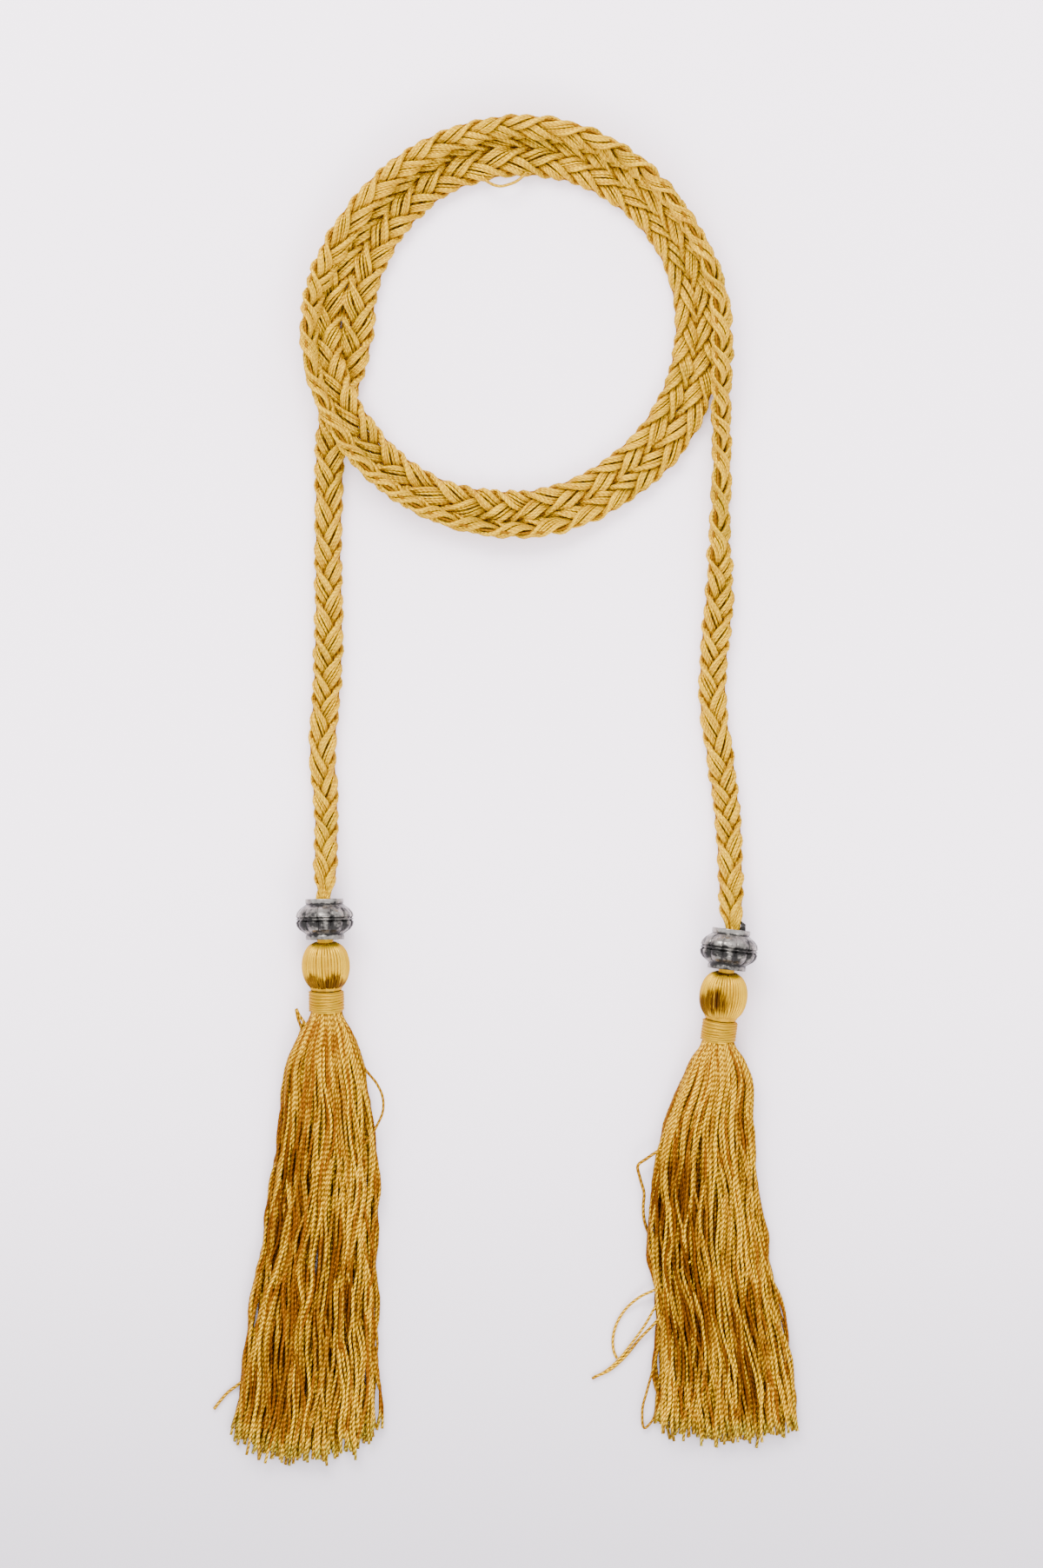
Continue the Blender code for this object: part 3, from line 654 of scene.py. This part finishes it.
def makeCore(rng):
    # plain yarns through the middle of the plait, seen only between its bundles, where they are darkened as
    # painted shade
    places = np.linspace(0.0, pathLength[-1], int(pathLength[-1] / braid["coreStep"]))
    middle, across, up, shares = framesAt(places)
    _, _, halfWidth, _ = braidSize()
    fromEnd = np.clip(np.minimum(places, pathLength[-1] - places) / braid["gather"], 0, 1)
    lines = []
    full, gathered = fullnessAt(places, middle), braid["coreGathered"]
    for at in np.linspace(-braid["coreReach"], braid["coreReach"], braid["coreYarns"]):
        aside = at * halfWidth * shares[:, 0] * full * (gathered + (1 - gathered) * fromEnd)
        line = middle + across * aside[:, None] + up * rng.uniform(-1, 1) * braid["coreWander"]
        line[:, 2] = np.maximum(line[:, 2], floorLevel + braid["coreRadius"])
        lines.append(intoBeads(line))
    count = len(lines)
    piece = tubes("braid_core", lines, [braid["coreRadius"]] * count, [braid["coreTone"]] * count,
                  braid["yarnSides"], braidYarn, darks=[braid["coreShade"]] * count)
    return piece


def declareBraid():
    # works out the braid's full width, and does nothing with it
    _, _, halfWidth, _ = braidSize()
    2 * halfWidth


bundles = makeBraid()
core = makeCore(dice("core"))
declareBraid()
print("braid made")


tassel = {
    "headRadius": 6.75 * mm,
    "headLength": 13.5 * mm,
    "headFullness": 0.62,
    "neckShowing": 1.0 * mm,
    "bindingRadius": 4.85 * mm,
    "bindingLength": 6.1 * mm,
    "clearance": 0.35 * mm,
    "threadRadius": 0.42 * mm,
    "threads": 46,
    "threadSides": 6,
    "threadSteps": 27,
    "threadSpan": (84, -64),     # degrees on the head, from its top to its foot
    "threadSink": 0.55,          # how deep the threads lie, as a share of their radius
    "threadUneven": 0.15,
    "threadLean": 0.05,
    "threadBulge": 0.012,
    "threadTones": (0.35, 0.9),
    "threadTop": (0.93, 0.25),   # where they go in: share of the half length, share of the radius there
    "threadFoot": (1.02, 0.9 * mm),
    "bandEdge": 1.35,            # painted shade bands: how far they reach and how ragged they are
    "bandRagged": (0.35, 12),
    "bandShare": (0.7, 1.0),
    "windingRadius": 0.36 * mm,
    "windings": 9,
    "windingSteps": 26,
    # two layers: how much they slant, how many turns fewer they have, and how deep they lie
    "layers": ((0.0, 0, 0.5), (0.13, 2, 0.15)),
    "layerTones": (0.35, 0.5),
    "layerDarks": (0.34, 0.24),
    "footSink": 0.5,
    # painted shade bands on the heads, for the dark sheen where the threads turn away: centre, half width and
    # half height in the photo's pixels
    "left": {"paintedShadeBands": ((374, 1133, 30, 10), (360, 1126, 8, 7), (386, 1126, 7, 6))},
    "right": {"paintedShadeBands": ((819, 1154, 23, 14), (834, 1121, 11, 3))},
}


def toBinding():
    # from the bead's mouth to where the neck's binding starts
    return tassel["neckShowing"] + tassel["headLength"] + tassel["clearance"]


def tasselAxis(side):
    centre, heading = beadAxis(side)
    toHead = tassel["neckShowing"] + tassel["headLength"] / 2
    toEnd = toBinding() + tassel["bindingLength"]
    pitch = math.asin(min((beads["radius"] - tassel["headRadius"]) / toHead,
                          (beads["radius"] - tassel["bindingRadius"]) / toEnd))
    axis = heading * math.cos(pitch) - Vector((0, 0, math.sin(pitch)))
    return centre + heading * beads["length"] / 2, heading, axis


def tasselFrame(side):
    # where a tassel starts, its axis, and the directions sideways and upwards across it
    mouth, heading, axis = tasselAxis(side)
    axis, sideways = np.array(axis), np.array(heading.cross(Vector((0, 0, 1))))
    return np.array(mouth), axis, sideways, np.cross(axis, sideways) * -1


def pixelOf(points):
    x = (points[:, 0] - shift.x) / view["pixel"] + view["coilAt"][0]
    return np.stack([x, view["coilAt"][1] - (points[:, 1] - shift.y) / view["pixel"]], 1)


def paintedShadeSpots(points, paintedShadeBands, rng):
    # painted shade in soft ellipses: the dark sheen where a head's threads turn away, and the fringes' darker
    # patches
    spots = pixelOf(points)
    dark = np.zeros(len(points))
    share, most = tassel["bandRagged"]
    for x, y, wide, high in paintedShadeBands:
        ragged = rng.uniform(-share, share) * min(high, most)
        reach = ((spots[:, 0] - x) / wide) ** 2 + ((spots[:, 1] - y - ragged) / high) ** 2
        dark = np.maximum(dark, np.clip(tassel["bandEdge"] - reach, 0, 1))
    return dark * rng.uniform(*tassel["bandShare"])


def makeHead(side, rng):
    mouth, axis, sideways, up = tasselFrame(side)
    half, thread = tassel["headLength"] / 2, tassel["threadRadius"]
    middle = mouth + axis * (tassel["neckShowing"] + half)
    t = np.radians(np.linspace(*tassel["threadSpan"], tassel["threadSteps"]))
    radius = (tassel["headRadius"] - thread * tassel["threadSink"]) * np.cos(t) ** tassel["headFullness"]
    uneven, swell = tassel["threadUneven"], tassel["threadBulge"]
    topWay, topShare = tassel["threadTop"]
    footWay, footIn = tassel["threadFoot"]
    lines, darks = [], []
    for j in range(tassel["threads"]):
        a = 2 * math.pi * (j + rng.uniform(-uneven, uneven)) / tassel["threads"]
        lean = a + tassel["threadLean"] * np.sin(3 * a + 1) * np.sin(t)
        out = sideways * np.cos(lean)[:, None] + up * np.sin(lean)[:, None]
        bulge = radius * (1 + rng.uniform(-swell, swell))
        line = middle - axis * (half * np.sin(t))[:, None] + out * bulge[:, None]
        inside = middle - axis * half * topWay + out[0] * topShare * radius[0]
        foot = middle + axis * half * footWay + out[-1] * (tassel["bindingRadius"] - footIn)
        line = np.vstack([inside, line, foot])
        line[:, 2] = np.maximum(line[:, 2], floorLevel + thread)
        lines.append(line)
        # painted shade: the dark sheen bands on this head
        darks.append(paintedShadeSpots(line, tassel[side]["paintedShadeBands"], rng))
    tones = rng.uniform(*tassel["threadTones"], len(lines))
    aslant = tuple(np.cross(axis, (0.3, 0.1, 0.9)))  # along none of the threads
    piece = tubes(f"head_threads_{side}", lines, [thread] * len(lines), tones, tassel["threadSides"], floss,
                  darks=darks, reference=aslant)
    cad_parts[f"tassel_head_{side}"].material_slots[0].material = floss


def makeBinding(side):
    mouth, axis, sideways, up = tasselFrame(side)
    start = mouth + axis * toBinding()
    lines, thread = [], tassel["windingRadius"]
    for slant, fewer, depth in tassel["layers"]:
        turns = tassel["windings"] - fewer
        a = np.linspace(0, 2 * math.pi * turns, tassel["windingSteps"] * turns)
        wall = tassel["bindingRadius"] - thread * depth
        way = thread + (tassel["bindingLength"] - 2 * thread) * a / a[-1]
        way += slant * tassel["bindingRadius"] * np.sin(a + 0.8) * np.sin(np.pi * a / a[-1])
        out = sideways * np.cos(a)[:, None] + up * np.sin(a)[:, None]
        line = start + axis * way[:, None] + out * wall
        line[:, 2] = np.maximum(line[:, 2], floorLevel + thread * tassel["footSink"])
        lines.append(line)
    piece = tubes(f"neck_winding_{side}", lines, [thread] * len(lines), tassel["layerTones"],
                  tassel["threadSides"], floss, darks=tassel["layerDarks"], reference=tuple(axis))
    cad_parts[f"neck_binding_{side}"].material_slots[0].material = floss


skirts = {
    "yarnRadius": 0.46 * mm,
    "sides": 5,
    "steps": 62,
    "stepsCloser": 1.15,         # closer together at the top
    "straighten": 0.9,           # how much of the tassel's heading the fringe loses as it falls straight
    "rings": ((1.02, 118), (0.80, 76), (0.54, 48), (0.22, 22)),
    "spacing": 0.4,              # how unevenly they stand round a ring
    "locks": 40,
    # how far they wander and over what length: locks of yarns together, each yarn by itself, up and down,
    # and in small waves
    "lock": (1.5 * mm, 95 * mm),
    "stray": (0.8 * mm, 55 * mm),
    "lift": (0.7 * mm, 45 * mm),
    "crimp": (0.11 * mm, 9 * mm),
    "looseFrom": 0.35,           # share of the length below which they wander freely
    "looseLeast": 0.04,
    "roundness": 0.8,
    "floorLift": 1.02,           # of the lowest yarns, as a share of their radius
    "end": 0.985,
    "endUneven": 0.014,
    "throat": 3 * mm,            # how far they reach into the binding, how narrowly, and how dark their painted shade is there
    "throatShares": (0.7, 0.6),
    "throatShade": 0.2,
    "deepFrom": 0.12,
    "deepShade": 0.6,            # painted shade: how dark the low yarns and the patches are painted
    "patchShade": 0.8,
    "mostShade": 0.85,
    "tipFrom": 0.97,
    "tipDark": (0.0, 0.45),
    "tipTone": (1.3, 1.9),
    "patchSpread": (0.8, 0.8),   # beta distributions
    "toneSpread": (0.7, 0.7),
    # way down as a share of the length, sideways place and width as shares of the hem, height
    "left": {
        "length": 129.0 * mm,
        "hem": 38.5 * mm,
        "rows": ((0.00, 0.00, 0.23, 0.92), (0.012, 0.00, 0.25, 0.96), (0.04, 0.00, 0.36, 0.94),
                 (0.08, -0.01, 0.48, 0.88), (0.27, 0.00, 0.67, 0.72), (0.46, -0.04, 0.78, 0.62),
                 (0.66, -0.10, 0.90, 0.55), (0.85, -0.14, 1.00, 0.50), (1.00, -0.19, 1.05, 0.44)),
        "hemBend": 0.055,
        # painted shade patches: centre, half width and half height in the photo's pixels
        "patches": ((330, 1400, 26, 170), (385, 1500, 30, 110), (318, 1590, 40, 60)),
    },
    "right": {
        "length": 116.0 * mm,
        "hem": 39.5 * mm,
        "rows": ((0.00, 0.00, 0.23, 0.92), (0.012, 0.00, 0.25, 0.96), (0.04, 0.00, 0.36, 0.94),
                 (0.09, 0.00, 0.49, 0.88), (0.19, -0.05, 0.61, 0.78), (0.35, -0.07, 0.74, 0.68),
                 (0.53, -0.04, 0.81, 0.60), (0.72, 0.04, 0.89, 0.54), (1.00, 0.11, 1.02, 0.46)),
        "hemBend": 0.045,
        # painted shade patches: centre, half width and half height in the photo's pixels
        "patches": ((785, 1390, 42, 70), (800, 1480, 45, 110), (850, 1560, 30, 90)),
    },
}


def skirtStart(side):
    mouth, heading, axis = tasselAxis(side)
    down = toBinding() + tassel["bindingLength"]
    return np.array(mouth + axis * down), np.array(heading), np.array(axis)


def skirtLines(side, rng):
    look = skirts[side]
    start, heading, axis = skirtStart(side)
    fall = heading + np.array([-heading[0], 0, 0]) * skirts["straighten"]
    share = np.linspace(0, 1, skirts["steps"]) ** skirts["stepsCloser"]
    tip = share > skirts["tipFrom"]
    throatWidth, throatHeight = skirts["throatShares"]
    lines, darks, tones, r = [], [], [], skirts["yarnRadius"]

    def wander(kind, count):
        size, reach = skirts[kind]
        return waves(rng, count, share * look["length"], reach, size)

    locks = wander("lock", skirts["locks"])
    for reach, count in skirts["rings"]:
        own, lift, crimp = wander("stray", count), wander("lift", count), wander("crimp", count)
        for j in range(count):
            a = 2 * math.pi * (j + rng.uniform(-skirts["spacing"], skirts["spacing"])) / count
            end = skirts["end"] - look["hemBend"] * math.cos(a) ** 4 + rng.normal(0, skirts["endUneven"])
            at = share * end
            shiftX, width, tall = smoothTable(look["rows"], np.minimum(at, 1.0)).T
            width, tall = width * look["hem"], tall * 2 * tassel["bindingRadius"]
            loose = np.clip(at / skirts["looseFrom"], skirts["looseLeast"], 1)
            lock = int(a / 2 / math.pi * skirts["locks"]) % skirts["locks"]
            x = 0.5 * (width - 2 * r) * reach * math.cos(a)
            x = x + (locks[lock] + own[j]) * loose + crimp[j]
            rise = math.copysign(abs(math.sin(a)) ** skirts["roundness"], math.sin(a))
            z = tall * (0.5 + 0.5 * reach * rise)
            z = np.maximum(z + lift[j] * loose - r, r * skirts["floorLift"])
            line = start + fall * (at * look["length"])[:, None]
            line[:, 0] += shiftX * look["hem"] + x
            line[:, 2] = floorLevel + z
            throat = start - axis * skirts["throat"]
            throat = throat + np.array([x[0] * throatWidth, 0, (z[0] - 0.5 * tall[0]) * throatHeight])
            lines.append(np.vstack([throat, line]))
            # painted shade on the low yarns, under the others
            deep = np.clip(1 - (z + r) / tall, 0, 1) * np.clip(at / skirts["deepFrom"], 0, 1)
            # painted shade in the fringe's darker patches
            patch = skirts["patchShade"] * paintedShadeSpots(line, look["patches"], rng)
            patch = patch * rng.beta(*skirts["patchSpread"])
            shade = np.where(tip, rng.uniform(*skirts["tipDark"]), skirts["deepShade"] * deep + patch)
            darks.append(np.concatenate([[skirts["throatShade"]], np.clip(shade, 0, skirts["mostShade"])]))
            tone = rng.beta(*skirts["toneSpread"])
            tipped = np.where(tip, rng.uniform(*skirts["tipTone"]), tone)
            tones.append(np.concatenate([[tone], tipped]))
    return lines, tones, darks


def makeSkirt(side, rng):
    lines, tones, darks = skirtLines(side, rng)
    piece = tubes(f"fringe_{side}", lines, [skirts["yarnRadius"]] * len(lines), tones, skirts["sides"],
                  fringeYarn, darks=darks)
    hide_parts(f"skirt_{side}")


# Loose yarns that stand off the fringes and the coil: points in the photo's pixels, then the height in
# millimetres at both ends
looseYarns = {
    "radius": 0.48 * mm,
    "thinner": (0.8, 1.0),       # shares of that radius
    "step": 0.8 * mm,
    "sides": 6,
    "drop": 1.6,                 # how soon it comes down
    "tones": (0.1, 0.9),
    "darks": (0.0, 0.35),
    "left": (
        (((354, 1182), (348, 1173), (343, 1165), (341, 1160)), 5, 4),
        (((352, 1194), (347, 1182), (343, 1171), (341, 1161)), 4, 4),
        (((350, 1175), (345, 1190), (339, 1209), (337, 1235), (331, 1262), (326, 1290)), 3, 1),
        (((392, 1172), (398, 1181), (408, 1199), (420, 1229), (434, 1247), (440, 1260), (441, 1276),
          (432, 1298), (418, 1320), (412, 1350)), 6, 5),
        (((337, 1235), (335, 1253), (327, 1280), (322, 1308), (320, 1343), (317, 1363), (312, 1395)), 2, 1),
        (((312, 1380), (307, 1400), (303, 1440), (299, 1479), (288, 1519), (284, 1558), (285, 1578),
          (280, 1610)), 2, 1),
        (((292, 1560), (283, 1584), (260, 1604), (246, 1621)), 2, 0.6),
        (((420, 1300), (426, 1324), (429, 1343), (424, 1367), (421, 1387), (428, 1417), (424, 1443),
          (426, 1479), (427, 1523)), 3, 1),
        (((405, 1480), (412, 1511), (428, 1542), (434, 1564), (431, 1588), (430, 1627), (432, 1643)), 4, 0.6),
    ),
    "right": (
        (((780, 1290), (769, 1302), (763, 1310), (759, 1321), (760, 1340)), 3, 1),
        (((790, 1308), (775, 1317), (759, 1323), (742, 1334), (734, 1340), (736, 1354), (741, 1373),
          (740, 1388), (741, 1403), (748, 1424), (752, 1438), (756, 1471), (760, 1500)), 5, 1),
        (((795, 1450), (780, 1463), (767, 1473), (756, 1482), (736, 1492), (719, 1507), (709, 1524),
          (705, 1542), (707, 1557), (710, 1563)), 5, 0.6),
        (((770, 1480), (754, 1503), (742, 1524), (727, 1545), (712, 1564), (696, 1578), (681, 1586)), 4, 0.6),
        (((772, 1495), (756, 1519), (736, 1540), (718, 1562), (700, 1577), (684, 1584)), 3, 0.6),
        (((768, 1520), (758, 1547), (752, 1572), (744, 1601), (739, 1622), (742, 1643), (750, 1635),
          (756, 1603), (762, 1570)), 3, 1),
        (((872, 1400), (880, 1438), (889, 1476), (897, 1526), (905, 1572), (913, 1622)), 3, 0.6),
    ),
    "coil": (
        (((554, 203), (560, 209), (567, 213), (576, 215), (585, 213), (593, 210), (601, 204),
          (606, 199)), 5, 5),
    ),
}


def makeLooseYarns(place, finish, rng):
    lines = []
    for points, first, last in looseYarns[place]:
        flat = np.array([fromPixel(x, y)[:2] for x, y in points])
        along = np.concatenate([[0], np.cumsum(np.linalg.norm(np.diff(flat, axis=0), axis=1))])
        spots = np.linspace(0, along[-1], max(12, int(along[-1] / looseYarns["step"])))
        line = smoothTable(np.column_stack([along, flat]), spots)
        fall = spots / along[-1]
        height = (first + (last - first) * np.minimum(fall * looseYarns["drop"], 1)) * mm
        lines.append(np.column_stack([line, floorLevel + height]))
    radii = [looseYarns["radius"] * rng.uniform(*looseYarns["thinner"]) for _ in lines]
    tones = rng.uniform(*looseYarns["tones"], len(lines))
    darks = rng.uniform(*looseYarns["darks"], len(lines))
    piece = tubes(f"loose_yarns_{place}", lines, radii, tones, looseYarns["sides"], finish, darks=darks)


for side in ("left", "right"):
    makeHead(side, dice("head"))
    makeBinding(side)
    makeSkirt(side, dice(side))
    makeLooseYarns(side, fringeYarn, dice("loose"))
makeLooseYarns("coil", braidYarn, dice("coil"))
print("tassels made")


metal = {
    "light": (0.232, 0.212, 0.188),
    "dark": (0.007, 0.0058, 0.0046),
    "lobes": 12,
    "lobeDepth": 0.14,           # between the balls on the tassel's side, as a share of the radius
    "panelDepth": 0.07,          # between the panels on the braid's side
    "pits": 0.16 * mm,
    "pitDepth": 0.55,
    "grainScale": 1000.0,
    "cloudScale": 380.0,
    "stain": (1.1, 2.4, 1.7),    # by the dark attribute (patina in the hollows, painted shade on the tassel's side and in the bore, and painted highlights on the collars), the clouds and the grain
    "stainBase": 0.36,           # everywhere
    "middles": (0.44, 0.45),     # of the clouds and the grain
    "tarnish": 0.35,             # how far a stain takes away the metal's shine
    "roughness": (0.06, 0.2, 0.25),  # the least, then by the grain and the stain
    "grainRelief": 0.6,
    "around": 240,
    "along": 97,
    "closer": 0.9,               # how much closer together the rings are at the collars
    "belly": 0.70,               # where the lobes end, as a share of the half length
    "rim": 0.03,                 # half width of the rib round the middle
    "ballEdge": 0.55,
    "panelEdge": 0.22,
    "ribCrease": (0.04, 0.05),   # depth and width of the creases beside the rib
    "collarDark": (0.6, 0.74, 0.045),
    # paler collars: partly their smoother polish, partly a painted highlight
    "collarPolishAndHighlight": (0.25, 0.92, 0.08),
    "lowSideShade": (0.24, 0.15),   # painted shade on the tassel's side: how dark, and from how far down
    "creaseDark": 1.2,
    "paler": 0.05,
    "palest": -0.4,
    # way along the half length, then radius as a share of the bead's
    "profile": ((-1.00, 0.66), (-0.985, 0.675), (-0.93, 0.68), (-0.86, 0.68), (-0.80, 0.67), (-0.74, 0.65),
                (-0.66, 0.72), (-0.52, 0.87), (-0.34, 0.98), (-0.16, 1.02), (-0.05, 1.00), (-0.02, 1.035),
                (0.02, 1.035), (0.05, 1.00), (0.16, 1.02), (0.34, 0.99), (0.52, 0.89), (0.66, 0.73),
                (0.74, 0.65), (0.80, 0.67), (0.86, 0.68), (0.93, 0.68), (0.985, 0.675), (1.00, 0.66)),
    "bore": 0.42,
    "boreLength": 0.97,
    # painted shade inside the bore
    "boreShade": 0.9,
}


def makeMetalFinish():
    f = Finish("antiqueSilver")
    where = f.place()
    patinaShadeAndHighlight = f.attribute("dark")
    grain = f.noise(where, metal["grainScale"], 3.0)
    cloud = f.noise(where, metal["cloudScale"])
    byPatinaShadeAndHighlight, byCloud, byGrain = metal["stain"]
    clouded, grained = cloud - metal["middles"][0], grain - metal["middles"][1]
    stain = (patinaShadeAndHighlight * byPatinaShadeAndHighlight + clouded * byCloud + grained * byGrain + metal["stainBase"]).kept()
    least, rougherGrain, rougherStain = metal["roughness"]
    f.set(Base_Color=f.blend(stain, metal["light"], metal["dark"]))
    f.set(Metallic=1 - stain * metal["tarnish"])
    f.set(Roughness=(least + grain * rougherGrain + stain * rougherStain).kept())
    f.set(Normal=f.bump(grain * metal["grainRelief"] + cloud, metal["pitDepth"], metal["pits"]))
    return f.material


def bell(way, height, middle, width):
    return height * np.exp(-((np.abs(way) - middle) / width) ** 2)


def makeBead(side, finish):
    centre, heading = beadAxis(side)
    centre, heading = np.array(centre), np.array(heading)
    sideways, up = np.cross(heading, (0, 0, 1)), np.array([0, 0, 1.0])
    half, radius = beads["length"] / 2, beads["radius"]
    rows = np.array(metal["profile"])
    way = np.linspace(-1, 1, metal["along"])
    way = np.sign(way) * np.abs(way) ** metal["closer"]
    share = np.interp(way, rows[:, 0], rows[:, 1])
    a = 2 * math.pi * np.arange(metal["around"]) / metal["around"]
    besideRib = np.abs(way) > metal["rim"]
    lobed = np.sqrt(np.clip((metal["belly"] - np.abs(way)) / metal["belly"], 0, 1)) * besideRib
    ball = 1 - np.abs(np.cos(a * metal["lobes"] / 2)) ** metal["ballEdge"]
    panel = 1 - np.abs(np.cos(a * metal["lobes"] / 2)) ** metal["panelEdge"]
    crease = np.where(way[:, None] > 0, metal["lobeDepth"] * ball, metal["panelDepth"] * panel)
    creaseDepth, creaseWidth = metal["ribCrease"]
    middleCrease = bell(way, creaseDepth, creaseWidth, creaseWidth) * besideRib
    depth = lobed[:, None] * crease + middleCrease[:, None]
    r = radius * (share[:, None] - depth)
    out = sideways * np.cos(a)[:, None] + up * np.sin(a)[:, None]
    skin = centre + heading * (way * half)[:, None, None] + out * r[..., None]
    skin[..., 2] = np.maximum(skin[..., 2], floorLevel)
    ends = (metal["boreLength"], -metal["boreLength"])
    rim = [centre + heading * half * end + out * radius * metal["bore"] for end in ends]
    rings = np.concatenate([skin, np.array(rim)])
    # the collars: darker in the groove beside them, and paler on them, partly their polish and partly a
    # painted highlight
    neck = bell(way, *metal["collarDark"]) - bell(way, *metal["collarPolishAndHighlight"])
    underMost, underFrom = metal["lowSideShade"]
    # painted shade over the tassel's side of the bead
    paintedLowShade = underMost * np.clip(way / underFrom, 0, 1)
    # the dark attribute: patina in the creases, painted shade on the tassel's side, and the collars' polish
    # and painted highlight
    dark = depth / metal["lobeDepth"] * metal["creaseDark"] + (neck + paintedLowShade)[:, None] - metal["paler"]
    # painted shade inside the bore
    dark = np.concatenate([np.clip(dark, metal["palest"], 1), np.full((2, len(a)), metal["boreShade"])])
    count, n = len(a), len(rings)
    i, j = np.arange(n)[:, None] * count, np.arange(count)
    nxt = (np.arange(n)[:, None] + 1) % n * count
    quads = np.stack([i + j, nxt + j, nxt + (j + 1) % count, i + (j + 1) % count], -1).reshape(-1, 4)
    mesh = bpy.data.meshes.new(f"bead_shell_{side}")
    mesh.from_pydata(rings.reshape(-1, 3), [], quads.tolist())
    piece = addPiece(f"bead_shell_{side}", mesh, finish, dark=dark.ravel())
    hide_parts(f"bead_{side}")


# What the casting's runner left, at the upper rim of the right bead: place in the photo's pixels, then
# height and radius in millimetres
nib = {
    "rows": ((846, 1086, 7.5, 1.2), (850, 1078, 8.2, 1.1), (854, 1070, 8.6, 0.95), (855, 1064, 8.8, 0.7),
             (852, 1060, 9.0, 0.2)),
    "sides": 8,
    "dark": 0.45,
}


def makeNib(finish):
    line = np.array([fromPixel(x, y, z * mm) for x, y, z, _ in nib["rows"]])
    radii = np.array([row[3] for row in nib["rows"]]) * mm
    piece = tubes("bead_nib", [line], [radii], [0.5], nib["sides"], finish, darks=[nib["dark"]])


silver = makeMetalFinish()
for side in ("left", "right"):
    makeBead(side, silver)
makeNib(silver)
print("beads made")


studio = {
    # spot, size in metres and power in watts
    "topBox": ((-0.35, 1.1, 1.1), (1.2, 0.7), 50.0),
    "bottomBox": ((0.4, -1.2, 1.1), (1.0, 0.6), 26.0),
    "skyColour": (0.93, 0.94, 1.0, 1.0),
    "skyStrength": 3.2,
    "floorNear": (0.94, 0.83, 0.89),
    "floorShaded": (0.41, 0.375, 0.405),
    "floorShadeReach": 0.28,           # metres, towards the tassels, over which the painted shade comes in
    "floorRoughness": 0.7,
    "floorSize": 3.0,
    "floorGap": 0.1 * mm,
}


def makeLight(name):
    spot, size, power = studio[name]
    data = bpy.data.lights.new(name, "AREA")
    data.shape = "RECTANGLE"
    data.size, data.size_y = size
    data.energy = power
    lamp = bpy.data.objects.new(name, data)
    lamp.location = spot
    lamp.rotation_euler = (-Vector(spot)).to_track_quat("-Z", "Y").to_euler()
    bpy.context.scene.collection.objects.link(lamp)


def makeFloor():
    f = Finish("paleFloor")
    north = f.node("ShaderNodeSeparateXYZ", {}, {0: f.place()}, out=1)
    # painted shade: the floor darkens towards the tassels, as the light falls off
    away = eased(((0.0 - north) / studio["floorShadeReach"]).kept())
    f.set(Base_Color=f.blend(away, studio["floorNear"], studio["floorShaded"]))
    f.set(Roughness=studio["floorRoughness"])
    mesh = bpy.data.meshes.new("floor")
    shape = bmesh.new()
    bmesh.ops.create_grid(shape, x_segments=1, y_segments=1, size=studio["floorSize"])
    shape.to_mesh(mesh)
    shape.free()
    floor = bpy.data.objects.new("floor", mesh)
    floor.location.z = floorLevel - studio["floorGap"]
    mesh.materials.append(f.material)
    bpy.context.scene.collection.objects.link(floor)


def makeStudio():
    makeFloor()
    makeLight("topBox")
    makeLight("bottomBox")
    world = bpy.data.worlds.new("studio")
    bpy.context.scene.world = world
    world.use_nodes = True
    sky = world.node_tree.nodes["Background"]
    sky.inputs["Color"].default_value = studio["skyColour"]
    sky.inputs["Strength"].default_value = studio["skyStrength"]


makeStudio()
print("studio set")
